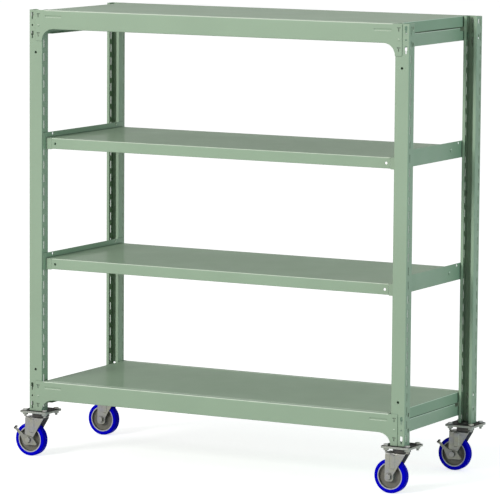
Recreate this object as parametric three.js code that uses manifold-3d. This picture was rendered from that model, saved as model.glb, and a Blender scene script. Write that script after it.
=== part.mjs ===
import * as THREE from 'three';
import { mergeVertices } from 'three/addons/utils/BufferGeometryUtils.js';
import Module from 'manifold-3d';

const wasm = await Module();
wasm.setup();

// Mobile shelving: four slotted posts, four shelf pans, front and rear beams at the top and the
// bottom, and a swivel caster under each post. Millimetres, +X along the width, -Y the front, +Z up.
// The origin lies on the floor, under the middle of the whole outline with its trailing wheels.

// Overall sizes
const rackWidth = 1560;
const rackDepth = 610;
const postLength = 1500;
const fitGap = 0.3;
const cutOverrun = 1;

// Post: a lipped channel with its web facing out to the front or the rear
const postWidth = 55;
const postDepth = 45;
const postSheet = 2;
const postLip = 12;
const slotPitch = 50;
const firstSlot = 25;
const slotHeight = 30;
const slotWidth = 5;
const slotInset = 15;
const keyColumnOuter = 13;
const keyColumnInner = 40;
const keyNear = 22;
const keyFar = 92;
const keyWideWidth = 10;
const keyWideHeight = 16;
const keyNarrowWidth = 5;
const keyNarrowHeight = 12;
const pinHoleInset = 57;
const pinHoleRadius = 3.5;
const endHoleInset = 157;
const endHoleRadius = 5;
const tieSlotInset = 30;
const tieSlotWidth = 8;
const tieSlotHeight = 16;
const tieSlotSpacing = 56;
const bottomTieDrop = 60;
const topTieDrop = 74;

// Shelf pan and its ribs
const shelfSetback = 25;
const shelfSheet = 1.6;
const shelfFlange = 40;
const shelfReturn = 12;
const frontFlangeSetback = 24.4;
const sideFlangeSetback = 4;
const flangeHoleInset = 15;
const flangeHoleRadius = 5;
const ribSheet = 1.2;
const ribWidth = 60;
const ribDrop = 24;
const ribFoot = 12;
const ribOffset = 95;
const ribEndSetback = 20;
const lowerShelfSlots = 11;
const upperShelfSlots = 20;

// Beam: stepped section with a hanging gusset over the post at each end
const beamSheet = 2;
const beamHeight = 70;
const beamLip = 10;
const beamLedge = 16;
const beamEndGap = 10;
const grooveLength = 72;
const grooveHeight = 9;
const grooveDepth = 1.2;
const grooveDrop = 23;
const grooveInset = 40;
const punchBarWidth = 13;
const punchBarHeight = 4;
const punchBarRise = 9;
const punchStemWidth = 4.4;
const punchStemHeight = 11;
const hookThickness = 3;
const hookRise = 4;
const hookNoseDepth = 2.5;
const hookNoseDrop = 8;

// Pin on each beam end that locks it to its post
const pinRadius = 3;
const pinHeadRadius = 4.5;
const pinHeadThickness = 1.5;
const pinReach = 6;

// Side support of a middle shelf, and side tie of the top and bottom levels
const railSheet = 2;
const railRise = 20;
const railLedge = 18;
const railEndSetback = 6;
const railHoleInset = 73;
const railHoleRise = 13;
const railHoleRadius = 4.5;
const railHookWidth = 4;
const railHookHeight = 12;
const railHookNose = 8;
const tieHeight = 47;
const tieFlange = 14;
const tieFlangeSetback = 50;
const tieNotchLength = 64;
const tieNotchDepth = 12;
const tieHookHeight = 6;

// Bolt that holds a middle shelf to its side support
const shelfBoltInset = 137;
const shelfBoltDrop = 9;
const shelfBoltRadius = 3;
const shelfBoltHoleRadius = 3.5;
const shelfBoltHeadRadius = 7;
const shelfBoltHeadHeight = 3;
const shelfNutRadius = 5.8;
const shelfNutHeight = 5;
const shelfBoltTip = 2;

// Foot plate under a post and the bolts through it
const plateSize = 116;
const footPlateThickness = 3.2;
const footPlateBore = 13;
const plateInset = 37.5;
const boltSpacing = 84;
const boltRadius = 5;
const boltHoleRadius = 5.6;
const boltHeadRadius = 9.8;
const boltHeadHeight = 6.4;
const boltNutHeight = 8;
const boltTip = 7;

// Caster: plate, ball race, kingpin, fork, axle and wheel
const casterPlateThickness = 4;
const upperRaceInner = 17;
const upperRaceOuter = 29;
const upperRaceHeight = 7;
const ballRadius = 2.5;
const ballCircle = 23;
const cageWidth = 3;
const cageThickness = 1.2;
const lowerRaceHeight = 7.4;
const cupRadius = 32.5;
const cupWall = 2.5;
const cupRise = 8.6;
const kingpinRadius = 6;
const kingpinBore = 6.5;
const kingpinHeadRadius = 10;
const kingpinHeadHeight = 2.2;
const kingpinNutRadius = 10;
const kingpinNutHeight = 7.5;
const wheelRadius = 62.5;
const wheelTrail = 40;
const wheelCrownGap = 21;
const wheelGap = 40;
const forkSheet = 3;
const forkCrown = 4;
const forkEyeRadius = 18;
const forkFront = 22;
const forkBack = 15;
const forkWaistRise = 6;
const axleRadius = 6;
const axleHoleRadius = 6.4;
const axleHeadRadius = 11;
const axleHeadHeight = 7;
const axleNutHeight = 8;
const axleTip = 3;
const sleeveRadius = 8;
const washerRadius = 13;
const leverThickness = 2.5;
const hubBore = 8.5;
const hubBossRadius = 18;
const hubBossGap = 1;
const hubWeb = 6;
const rimInner = 43;
const rimOuter = 48.7;
const rimWidth = 30;
const tyreWidth = 32;
const tyreShoulder = 1;

// Brake lever: a plate around the axle, with an arm up to a toe bar over the tyre
const leverEyeRadius = 15;
const leverReach = 55;
const leverRise = 40;
const leverTipWidth = 9;
const leverBackReach = 34;
const leverBackRise = 13;
const leverHeelReach = 18;
const leverHeelDrop = 20;
const leverToeReach = 40;
const leverToeDrop = 18;
const leverCrestReach = 17;
const leverCrestRise = 11;
const leverShoulderReach = 18;
const leverShoulderRise = 18;
const barWidth = 13;
const barThickness = 4;
const barLength = 12;
const padThickness = 3;

// Counts
const roundSteps = 8;
const nutSides = 6;
const raceSteps = 16;
const tyreSteps = 24;
const filletSteps = 4;
const ballCount = 8;

// Heights and half sizes worked out from the sizes above
const raceGap = ballRadius * 2 + fitGap * 2;
const crownLow = 2 * wheelRadius + wheelCrownGap;
const crownTop = crownLow + forkCrown;
const lowerRaceTop = crownTop + lowerRaceHeight;
const upperRaceLow = lowerRaceTop + raceGap;
const casterHeight = upperRaceLow + upperRaceHeight + casterPlateThickness;
const postBottom = casterHeight + fitGap + footPlateThickness + fitGap;
const bottomShelfHeight = keyNear + keyFar;
const lowerShelfHeight = firstSlot + lowerShelfSlots * slotPitch;
const upperShelfHeight = firstSlot + upperShelfSlots * slotPitch;
const gussetHeight = keyNear + keyFar;
const innerWall = rackWidth / 2 - postWidth;
const shelfDepth = rackDepth - 2 * shelfSetback;
const shelfHalfWidth = innerWall - fitGap - railSheet - fitGap;
const tieTop = -(shelfFlange + fitGap);
const casterX = rackWidth / 2 - postWidth / 2;
const casterY = rackDepth / 2 - plateInset;
const padEnd = barThickness + fitGap + padThickness;
const padEndReach = leverReach * padEnd + leverRise * (barWidth / 2 - fitGap);
const padReach = leverReach + padEndReach / Math.hypot(leverReach, leverRise);
const trailReach = casterX + wheelTrail + Math.max(wheelRadius, padReach);
const plateReach = casterX + plateSize / 2;
const centreShift = (trailReach - plateReach) / 2;
const levels = [
  { name: 'bottom', height: bottomShelfHeight, tieDrop: bottomTieDrop },
  { name: 'lower', height: lowerShelfHeight },
  { name: 'upper', height: upperShelfHeight },
  { name: 'top', height: postLength, tieDrop: topTieDrop },
];
const corners = [
  { name: 'front_left', x: -1, y: -1, brake: true },
  { name: 'front_right', x: 1, y: -1, brake: false },
  { name: 'rear_left', x: -1, y: 1, brake: false },
  { name: 'rear_right', x: 1, y: 1, brake: true },
];
const sides = [
  { name: 'left', x: -1 },
  { name: 'right', x: 1 },
];
const fronts = [
  { name: 'front', y: -1 },
  { name: 'rear', y: 1 },
];

// Finishes
const paint = new THREE.MeshStandardMaterial({ color: 0x9bb49b, roughness: 0.45, metalness: 0.0 });
const shelfPaint = new THREE.MeshStandardMaterial({ color: 0x8fa596, roughness: 0.3, metalness: 0.0 });
const darkSteel = new THREE.MeshStandardMaterial({ color: 0x4a4c48, roughness: 0.4, metalness: 0.8 });
const zinc = new THREE.MeshStandardMaterial({ color: 0xa5a59b, roughness: 0.35, metalness: 0.8 });
const hubGrey = new THREE.MeshStandardMaterial({ color: 0x8c8a80, roughness: 0.5, metalness: 0.4 });
const tyreBlue = new THREE.MeshStandardMaterial({ color: 0x0a0aaa, roughness: 0.5, metalness: 0.0 });
const padBlack = new THREE.MeshStandardMaterial({ color: 0x161616, roughness: 0.7, metalness: 0.0 });

// Turns a closed geometry into a solid, with its faces pointing out
function toSolid(geometry) {
  geometry.deleteAttribute('normal');
  geometry.deleteAttribute('uv');
  const merged = mergeVertices(geometry);
  const place = merged.getAttribute('position');
  const corner = merged.getIndex().array;
  const point = (i) => new THREE.Vector3().fromBufferAttribute(place, i);
  const faces = [];
  let volume = 0;
  for (let i = 0; i < corner.length; i += 3) {
    const [a, b, c] = [corner[i], corner[i + 1], corner[i + 2]];
    if (a !== b && b !== c && c !== a) {
      faces.push([a, b, c]);
      volume += point(a).dot(point(b).cross(point(c)));
    }
  }
  const order = volume < 0 ? ([a, b, c]) => [a, c, b] : (face) => face;
  const triVerts = new Uint32Array(faces.flatMap(order));
  const vertProperties = new Float32Array(place.array);
  return new wasm.Manifold(new wasm.Mesh({ numProp: 3, vertProperties, triVerts }));
}

// Turns a solid back into a geometry
function toGeometry(solid) {
  const mesh = solid.getMesh();
  const geometry = new THREE.BufferGeometry();
  geometry.setAttribute('position', new THREE.BufferAttribute(mesh.vertProperties, 3));
  geometry.setIndex(new THREE.BufferAttribute(mesh.triVerts, 1));
  geometry.computeVertexNormals();
  return geometry;
}

function join(solids) {
  return solids.reduce((whole, solid) => whole.add(solid));
}

function cut(solid, cutters) {
  return solid.subtract(join(cutters));
}

// A block between two values on each axis, given in either order
function block(xs, ys, zs) {
  const size = [xs, ys, zs].map((pair) => Math.abs(pair[1] - pair[0]));
  const middle = [xs, ys, zs].map((pair) => (pair[0] + pair[1]) / 2);
  return toSolid(new THREE.BoxGeometry(...size).translate(...middle));
}

function extrude(points, length) {
  const shape = new THREE.Shape(points.map(([a, b]) => new THREE.Vector2(a, b)));
  return new THREE.ExtrudeGeometry(shape, { depth: length, bevelEnabled: false });
}

// A prism whose outline is drawn in X and Y, standing between two heights
function standing(points, zs) {
  return toSolid(extrude(points, zs[1] - zs[0]).translate(0, 0, zs[0]));
}

// A prism whose outline is drawn in X and Z, running between two values of Y in either order
function alongY(points, ys) {
  const far = Math.max(...ys);
  return toSolid(extrude(points, far - Math.min(...ys)).rotateX(Math.PI / 2).translate(0, far, 0));
}

// A prism whose outline is drawn in Y and Z, running between two values of X in either order
function alongX(points, xs) {
  const near = Math.min(...xs);
  const turn = new THREE.Matrix4().makeBasis(
    new THREE.Vector3(0, 1, 0),
    new THREE.Vector3(0, 0, 1),
    new THREE.Vector3(1, 0, 0),
  );
  return toSolid(extrude(points, Math.max(...xs) - near).applyMatrix4(turn).translate(near, 0, 0));
}

// Points of a regular outline around a centre, with its corners on the radius
function ring(radius, count, centre = [0, 0]) {
  return Array.from({ length: count }, (_, i) => {
    const angle = ((i + 0.5) / count) * 2 * Math.PI;
    return [centre[0] + radius * Math.cos(angle), centre[1] + radius * Math.sin(angle)];
  });
}

// The same for a hole, with its flats on the radius, so that a round pin fits it
function bore(radius, count, centre = [0, 0]) {
  return ring(radius / Math.cos(Math.PI / count), count, centre);
}

// A body of revolution about Z from a closed profile of radius and height
function turned(profile, count) {
  const points = profile.map(([r, z]) => new THREE.Vector2(r, z));
  points.push(points[0].clone());
  return toSolid(new THREE.LatheGeometry(points, count, Math.PI / count).rotateX(Math.PI / 2));
}

// A body of revolution about Y, through a centre in X and Z
function turnedAboutY(profile, count, centre) {
  const points = profile.map(([r, y]) => new THREE.Vector2(r, y));
  points.push(points[0].clone());
  const geometry = new THREE.LatheGeometry(points, count, Math.PI / count);
  return toSolid(geometry.translate(centre[0], 0, centre[1]));
}

const part = new THREE.Group();
const rack = new THREE.Group();
rack.position.set(centreShift, 0, 0);
part.add(rack);

function addPiece(name, solid, material, x, y, z) {
  const mesh = new THREE.Mesh(toGeometry(solid), material);
  mesh.name = name;
  mesh.position.set(x, y, z);
  rack.add(mesh);
}

// Keyhole outline: a wide upper part and a narrow slot below it, centred on its own height
function keyOutline(x, z) {
  const top = z + (keyWideHeight + keyNarrowHeight) / 2;
  const waist = top - keyWideHeight;
  const low = waist - keyNarrowHeight;
  const wide = keyWideWidth / 2;
  const narrow = keyNarrowWidth / 2;
  return [
    [x - wide, top], [x + wide, top], [x + wide, waist], [x + narrow, waist],
    [x + narrow, low], [x - narrow, low], [x - narrow, waist], [x - wide, waist],
  ];
}

// One post, drawn from its outer corner; sx and sy say which corner of the rack it stands at
function makePost(sx, sy) {
  const inX = (u) => -sx * u;
  const inY = (v) => -sy * v;
  const section = [
    [0, 0], [postWidth, 0], [postWidth, postDepth], [postWidth - postLip, postDepth],
    [postWidth - postLip, postDepth - postSheet], [postWidth - postSheet, postDepth - postSheet],
    [postWidth - postSheet, postSheet], [postSheet, postSheet],
    [postSheet, postDepth - postSheet], [postLip, postDepth - postSheet],
    [postLip, postDepth], [0, postDepth],
  ].map(([u, v]) => [inX(u), inY(v)]);
  const across = [inX(-cutOverrun), inX(postWidth + cutOverrun)];
  const throughWeb = [inY(-cutOverrun), inY(postSheet + cutOverrun)];
  const cutters = [];
  for (let z = firstSlot; z + slotHeight / 2 < postLength; z += slotPitch) {
    const depths = [inY(slotInset - slotWidth / 2), inY(slotInset + slotWidth / 2)];
    cutters.push(block(across, depths, [z - slotHeight / 2, z + slotHeight / 2]));
  }
  for (const { height, tieDrop } of levels.filter((level) => level.tieDrop)) {
    for (const z of [height - tieDrop, height - tieDrop + tieSlotSpacing]) {
      const depths = [inY(tieSlotInset - tieSlotWidth / 2), inY(tieSlotInset + tieSlotWidth / 2)];
      cutters.push(block(across, depths, [z - tieSlotHeight / 2, z + tieSlotHeight / 2]));
    }
  }
  for (const fromEnd of [(d) => d, (d) => postLength - d]) {
    for (const height of [keyNear, keyFar]) {
      const z = fromEnd(height);
      const half = (keyWideHeight + keyNarrowHeight) / 2;
      const hookSlot = [inX(keyColumnInner - keyNarrowWidth / 2), inX(keyColumnInner + keyNarrowWidth / 2)];
      cutters.push(alongY(keyOutline(inX(keyColumnOuter), z), throughWeb));
      cutters.push(block(hookSlot, throughWeb, [z - half, z + half]));
    }
    for (const column of [keyColumnOuter, keyColumnInner]) {
      const pinHole = bore(pinHoleRadius, nutSides, [inX(column), fromEnd(pinHoleInset)]);
      cutters.push(alongY(pinHole, throughWeb));
    }
    const endHole = bore(endHoleRadius, roundSteps, [inX(postWidth / 2), fromEnd(endHoleInset)]);
    cutters.push(alongY(endHole, throughWeb));
  }
  return cut(standing(section, [0, postLength]), cutters);
}

// One shelf pan: a flat sheet with turned-down edges, its top face at height zero. A bolted pan has
// holes in its edges
function makeShelf(bolted) {
  const halfDepth = shelfDepth / 2;
  const frontHalf = shelfHalfWidth - frontFlangeSetback;
  const sideHalf = halfDepth - sideFlangeSetback;
  const down = [-shelfFlange, 0];
  const low = [-shelfFlange, shelfSheet - shelfFlange];
  const pieces = [
    block([-shelfHalfWidth, shelfHalfWidth], [-halfDepth, halfDepth], [-shelfSheet, 0]),
  ];
  const cutters = [];
  for (const s of [-1, 1]) {
    const faceY = s * halfDepth;
    const faceX = s * shelfHalfWidth;
    pieces.push(block([-frontHalf, frontHalf], [faceY, faceY - s * shelfSheet], down));
    pieces.push(block([-frontHalf, frontHalf], [faceY, faceY - s * shelfReturn], low));
    pieces.push(block([faceX, faceX - s * shelfSheet], [-sideHalf, sideHalf], down));
    const lipHalf = sideHalf - shelfReturn;
    pieces.push(block([faceX, faceX - s * shelfReturn], [-lipHalf, lipHalf], low));
    for (const t of [-1, 1]) {
      const holeX = t * (frontHalf - flangeHoleInset);
      const hole = bore(flangeHoleRadius, roundSteps, [holeX, -shelfFlange / 2]);
      cutters.push(alongY(hole, [faceY + s * cutOverrun, faceY - s * (shelfSheet + cutOverrun)]));
      const boltY = t * (rackDepth / 2 - shelfBoltInset);
      const boltHole = bore(shelfBoltHoleRadius, roundSteps, [boltY, -shelfBoltDrop]);
      cutters.push(alongX(boltHole, [faceX + s * cutOverrun, faceX - s * (shelfSheet + cutOverrun)]));
    }
  }
  return bolted ? cut(join(pieces), cutters) : join(pieces);
}

// Stiffener under a shelf pan: one pressed sheet with two channels
function makeStiffener() {
  const near = ribOffset - ribWidth / 2;
  const far = ribOffset + ribWidth / 2;
  const top = -shelfSheet - fitGap;
  const low = top - ribDrop;
  const right = [
    [near, top], [near, low + ribSheet], [far, low + ribSheet], [far, top],
    [far + ribFoot, top], [far + ribFoot, top - ribSheet], [far + ribSheet, top - ribSheet],
    [far + ribSheet, low], [near - ribSheet, low], [near - ribSheet, top - ribSheet],
  ];
  const left = right.map(([y, z]) => [-y, z]).reverse();
  const reach = shelfHalfWidth - ribEndSetback;
  return alongX([...right, ...left], [-reach, reach]);
}

// One beam, drawn from the rack's front or rear plane with its top at height zero
function makeBeam(sy) {
  const out = fitGap + beamSheet;
  const inY = (w) => sy * (out - w);
  const halfSpan = rackWidth / 2 - postWidth / 2;
  const halfClear = innerWall - beamEndGap;
  const inner = out + shelfSetback - fitGap;
  const ledge = -(shelfFlange + fitGap);
  const section = [
    [inner + beamLedge, ledge], [inner, ledge], [inner, 0], [0, 0], [0, -beamHeight],
    [inner, -beamHeight], [inner, beamLip - beamHeight], [inner - beamSheet, beamLip - beamHeight],
    [inner - beamSheet, beamSheet - beamHeight], [beamSheet, beamSheet - beamHeight],
    [beamSheet, -beamSheet], [inner - beamSheet, -beamSheet],
    [inner - beamSheet, ledge - beamSheet], [inner + beamLedge, ledge - beamSheet],
  ].map(([w, z]) => [inY(w), z]);
  const fillet = gussetHeight - beamHeight;
  const curve = Array.from({ length: filletSteps + 1 }, (_, i) => {
    const angle = (i / filletSteps) * (Math.PI / 2);
    return [innerWall - fillet + fillet * Math.cos(angle), -gussetHeight + fillet * Math.sin(angle)];
  });
  const rightEdge = [[halfSpan, 0], [halfSpan, -gussetHeight], ...curve];
  const leftEdge = rightEdge.map(([x, z]) => [-x, z]).reverse();
  const pieces = [
    alongX(section, [-halfClear, halfClear]),
    alongY([...rightEdge, ...leftEdge], [inY(0), inY(beamSheet)]),
  ];
  const cutters = [];
  const throughFace = [inY(-cutOverrun), inY(beamSheet + cutOverrun)];
  for (const s of [-1, 1]) {
    const hookX = s * (rackWidth / 2 - keyColumnInner);
    const groove = [s * (halfSpan - grooveInset), s * (halfSpan - grooveInset - grooveLength)];
    const grooveZ = [-grooveDrop - grooveHeight / 2, grooveHeight / 2 - grooveDrop];
    pieces.push(block(groove, [inY(beamSheet / 2), inY(beamSheet + grooveDepth)], grooveZ));
    cutters.push(block(groove, [inY(-cutOverrun), inY(grooveDepth)], grooveZ));
    const pinPlace = [hookX, -pinHoleInset];
    const pinEnd = out + postSheet + pinReach;
    const pinHead = [inY(-pinHeadThickness), inY(beamSheet / 2)];
    pieces.push(alongY(ring(pinHeadRadius, roundSteps, pinPlace), pinHead));
    pieces.push(alongY(ring(pinRadius, nutSides, pinPlace), [inY(0), inY(pinEnd)]));
    for (const drop of [keyNear, keyFar]) {
      const barTop = punchBarRise - drop;
      const barLow = barTop - punchBarHeight;
      const bar = [hookX - punchBarWidth / 2, hookX + punchBarWidth / 2];
      const stem = [hookX - punchStemWidth / 2, hookX + punchStemWidth / 2];
      cutters.push(block(bar, throughFace, [barLow, barTop]));
      cutters.push(block(stem, throughFace, [barLow - punchStemHeight, barTop]));
      const hook = [hookX - hookThickness / 2, hookX + hookThickness / 2];
      const seat = -drop - (keyWideHeight + keyNarrowHeight) / 2 + fitGap;
      const behind = out + postSheet + fitGap;
      const arm = [inY(beamSheet / 2), inY(behind + hookNoseDepth)];
      const nose = [inY(behind), inY(behind + hookNoseDepth)];
      pieces.push(block(hook, arm, [seat, barLow - punchStemHeight]));
      pieces.push(block(hook, [inY(beamSheet), arm[1]], [seat, hookRise - drop]));
      pieces.push(block(hook, nose, [seat - hookNoseDrop, hookRise - drop]));
    }
  }
  return cut(join(pieces.slice(0, 2)), cutters).add(join(pieces.slice(2)));
}

// Outward hook of a rail: an arm through the post's wall, resting at the seat height, and a nose
// that drops behind the wall
function railHook(inX, y, seat, height) {
  const behind = -(postSheet + fitGap);
  const end = inX(behind - hookNoseDepth);
  const across = [y - railHookWidth / 2, y + railHookWidth / 2];
  const arm = block([inX(fitGap + railSheet / 2), end], across, [seat, seat + height]);
  return arm.add(block([inX(behind), end], across, [seat - railHookNose, seat + height]));
}

// Bolt from a side support into the shelf's edge, with its nut, kept in the support
function makeShelfBolt(inX, y) {
  const place = [y, -shelfBoltDrop];
  const nutFace = fitGap + railSheet + fitGap + shelfSheet + fitGap;
  const nutEnd = nutFace + shelfNutHeight;
  return join([
    alongX(ring(shelfBoltHeadRadius, roundSteps, place), [inX(fitGap + railSheet / 2), inX(-shelfBoltHeadHeight)]),
    alongX(ring(shelfBoltRadius, roundSteps, place), [inX(fitGap), inX(nutEnd + shelfBoltTip)]),
    alongX(ring(shelfNutRadius, nutSides, place), [inX(nutFace), inX(nutEnd)]),
  ]);
}

// Side support of a middle shelf, drawn from the post's inner wall with the shelf's top at zero
function makeSupport(sx) {
  const inX = (n) => -sx * n;
  const web = [inX(fitGap), inX(fitGap + railSheet)];
  const halfLength = rackDepth / 2 - railEndSetback;
  const low = -(shelfFlange + fitGap + railSheet);
  const halfShelf = shelfDepth / 2;
  const ledgeHalf = halfShelf - sideFlangeSetback;
  const pieces = [
    block(web, [-halfLength, halfLength], [low, railRise]),
    block([web[0], inX(fitGap + railLedge)], [-ledgeHalf, ledgeHalf], [low, low + railSheet]),
  ];
  const cutters = [];
  for (const s of [-1, 1]) {
    const faceY = s * (halfShelf - fitGap);
    const reach = [web[0], inX(fitGap + railSheet + frontFlangeSetback - fitGap)];
    pieces.push(block(reach, [faceY, faceY - s * railSheet], [low, -shelfSheet - fitGap]));
    const seat = fitGap - slotHeight / 2;
    pieces.push(railHook(inX, s * (rackDepth / 2 - slotInset), seat, railHookHeight));
    const holeY = s * (rackDepth / 2 - railHoleInset);
    const through = [inX(-cutOverrun), inX(fitGap + railSheet + cutOverrun)];
    cutters.push(alongX(bore(railHoleRadius, roundSteps, [holeY, railHoleRise]), through));
    pieces.push(makeShelfBolt(inX, s * (rackDepth / 2 - shelfBoltInset)));
  }
  return cut(join(pieces), cutters);
}

// Side tie of the top or bottom level, drawn like the support
function makeTie(sx, drop) {
  const inX = (n) => -sx * n;
  const web = [inX(fitGap), inX(fitGap + railSheet)];
  const halfLength = rackDepth / 2 - railEndSetback;
  const low = tieTop - tieHeight;
  const flangeHalf = rackDepth / 2 - tieFlangeSetback;
  const notchFrom = halfLength - tieNotchLength;
  const pieces = [
    block(web, [-halfLength, halfLength], [low, tieTop]),
    block([web[0], inX(fitGap + tieFlange)], [-notchFrom, notchFrom], [tieTop - railSheet, tieTop]),
    block([web[0], inX(fitGap + tieFlange)], [-flangeHalf, flangeHalf], [low, low + railSheet]),
  ];
  const cutters = [];
  for (const s of [-1, 1]) {
    const along = [s * notchFrom, s * (halfLength + cutOverrun)];
    const wide = [inX(-cutOverrun), inX(fitGap + tieFlange + cutOverrun)];
    cutters.push(block(wide, along, [tieTop - tieNotchDepth, tieTop + cutOverrun]));
  }
  const hooks = [-1, 1].map((s) => {
    const seat = fitGap - drop - tieSlotHeight / 2;
    return railHook(inX, s * (rackDepth / 2 - tieSlotInset), seat, tieHookHeight);
  });
  return cut(join(pieces), cutters).add(join(hooks));
}

function boltPlaces() {
  const half = boltSpacing / 2;
  return [[-half, -half], [half, -half], [half, half], [-half, half]];
}

// Plate under a post, with a bore over the kingpin's head and its four bolts fixed in it
function makeFootPlate() {
  const half = plateSize / 2;
  const low = casterHeight + fitGap;
  const high = low + footPlateThickness;
  const middle = standing(bore(footPlateBore, roundSteps), [low - cutOverrun, high + cutOverrun]);
  const headTop = high + boltHeadHeight;
  const tip = casterHeight - casterPlateThickness - fitGap - boltNutHeight - boltTip;
  const bolts = boltPlaces().flatMap((place) => [
    standing(ring(boltHeadRadius, nutSides, place), [high - footPlateThickness / 2, headTop]),
    standing(ring(boltRadius, roundSteps, place), [tip, high]),
  ]);
  return cut(block([-half, half], [-half, half], [low, high]), [middle]).add(join(bolts));
}

// Caster plate with the ball race's upper ring and four nuts under it
function makeCasterPlate() {
  const half = plateSize / 2;
  const low = casterHeight - casterPlateThickness;
  const middle = low + casterPlateThickness / 2;
  const raceLow = low - upperRaceHeight;
  const nutLow = low - fitGap - boltNutHeight;
  const race = turned([
    [upperRaceInner, raceLow], [upperRaceOuter, raceLow],
    [upperRaceOuter, middle], [upperRaceInner, middle],
  ], raceSteps);
  const nuts = boltPlaces().map((place) => standing(ring(boltHeadRadius, nutSides, place), [nutLow, middle]));
  const through = [nutLow - cutOverrun, casterHeight + cutOverrun];
  const holes = boltPlaces().map((place) => standing(bore(boltHoleRadius, roundSteps, place), through));
  holes.push(standing(bore(kingpinBore, roundSteps), through));
  return cut(join([block([-half, half], [-half, half], [low, casterHeight]), race, ...nuts]), holes);
}

// Pin at the swivel axis, fixed to the caster plate, with its nut under the fork's crown
function makeKingpin() {
  const headLow = casterHeight + fitGap;
  const nutTop = crownLow - fitGap;
  return join([
    standing(ring(kingpinHeadRadius, roundSteps), [headLow, headLow + kingpinHeadHeight]),
    standing(ring(kingpinRadius, roundSteps), [nutTop - kingpinNutHeight / 2, headLow + fitGap]),
    standing(ring(kingpinNutRadius, nutSides), [nutTop - kingpinNutHeight, nutTop]),
  ]);
}

// Balls that run between the two rings of the swivel head, held in a thin cage ring
function makeBallCage() {
  const z = upperRaceLow - fitGap - ballRadius;
  const half = cageWidth / 2;
  const rise = cageThickness / 2;
  const cage = turned([
    [ballCircle - half, z - rise], [ballCircle + half, z - rise],
    [ballCircle + half, z + rise], [ballCircle - half, z + rise],
  ], ballCount);
  const balls = Array.from({ length: ballCount }, (_, i) => {
    const angle = ((i + 0.5) / ballCount) * 2 * Math.PI;
    const ball = new THREE.OctahedronGeometry(ballRadius);
    return toSolid(ball.translate(ballCircle * Math.cos(angle), ballCircle * Math.sin(angle), z));
  });
  return join([cage, ...balls]);
}

// Pressed fork: crown, ball cup and two legs that trail back to the axle
function makeFork() {
  const outer = wheelGap / 2 + forkSheet;
  const axle = [-wheelTrail, wheelRadius];
  const eye = Array.from({ length: roundSteps + 1 }, (_, i) => {
    const angle = Math.PI + (i / roundSteps) * Math.PI;
    return [axle[0] + forkEyeRadius * Math.cos(angle), axle[1] + forkEyeRadius * Math.sin(angle)];
  });
  const outline = [
    [-wheelTrail - forkBack, crownTop], ...eye,
    [axle[0] + forkEyeRadius, axle[1] + forkWaistRise], [forkFront, crownTop],
  ];
  const blank = alongY(outline, [-outer, outer]);
  const gap = block(
    [-wheelTrail - wheelRadius, wheelRadius],
    [-wheelGap / 2, wheelGap / 2],
    [0, crownLow],
  );
  const cup = turned([
    [kingpinRadius, crownLow], [cupRadius, crownLow], [cupRadius, lowerRaceTop + cupRise],
    [cupRadius - cupWall, lowerRaceTop + cupRise], [cupRadius - cupWall, lowerRaceTop],
    [kingpinRadius, lowerRaceTop],
  ], raceSteps);
  const pinHole = standing(bore(kingpinBore, roundSteps), [crownLow - cutOverrun, lowerRaceTop + cutOverrun]);
  const axleHole = alongY(bore(axleHoleRadius, roundSteps, axle), [-outer - cutOverrun, outer + cutOverrun]);
  return cut(cut(blank, [gap]).add(cup), [pinHole, axleHole]);
}

// Axle bolt with its nut, the sleeve between the legs and, without a brake lever, a washer
function makeAxle(brake) {
  const axle = [-wheelTrail, wheelRadius];
  const legFace = wheelGap / 2 + forkSheet;
  const washerFace = -(legFace + fitGap);
  const headFace = washerFace - leverThickness - fitGap;
  const nutFace = legFace + fitGap;
  const nutEnd = nutFace + axleNutHeight;
  const sleeveHalf = wheelGap / 2 - fitGap;
  const solids = [
    alongY(ring(axleHeadRadius, nutSides, axle), [headFace - axleHeadHeight, headFace]),
    alongY(ring(axleRadius, roundSteps, axle), [headFace - axleHeadHeight / 2, nutEnd + axleTip]),
    alongY(ring(sleeveRadius, roundSteps, axle), [-sleeveHalf, sleeveHalf]),
    alongY(ring(axleHeadRadius, nutSides, axle), [nutFace, nutEnd]),
  ];
  if (!brake) {
    solids.push(alongY(ring(washerRadius, roundSteps, axle), [washerFace - leverThickness, washerFace]));
  }
  return join(solids);
}

// Wheel core: boss, web and rim in one piece
function makeHub() {
  const boss = wheelGap / 2 - hubBossGap;
  const web = hubWeb / 2;
  const rim = rimWidth / 2;
  return turnedAboutY([
    [hubBore, -boss], [hubBossRadius, -boss], [hubBossRadius, -web], [rimInner, -web],
    [rimInner, -rim], [rimOuter, -rim], [rimOuter, rim], [rimInner, rim], [rimInner, web],
    [hubBossRadius, web], [hubBossRadius, boss], [hubBore, boss],
  ], raceSteps, [-wheelTrail, wheelRadius]);
}

// Tyre with a flat running band and rounded shoulders, standing on one of its flats
function makeTyre() {
  const grow = 1 / Math.cos(Math.PI / tyreSteps);
  const inner = (rimOuter + fitGap) / Math.cos(Math.PI / raceSteps);
  const outer = wheelRadius * grow;
  const half = tyreWidth / 2;
  const depth = outer - inner;
  const sideShare = 0.6;
  const shoulderShare = 0.8;
  const bandShare = 0.45;
  const profile = [
    [inner, tyreShoulder - half], [inner + depth * sideShare, -half],
    [outer - tyreShoulder, -half * shoulderShare], [outer, -half * bandShare],
    [outer, half * bandShare], [outer - tyreShoulder, half * shoulderShare],
    [inner + depth * sideShare, half], [inner, half - tyreShoulder],
  ];
  return turnedAboutY(profile, tyreSteps, [-wheelTrail, wheelRadius]);
}

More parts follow.
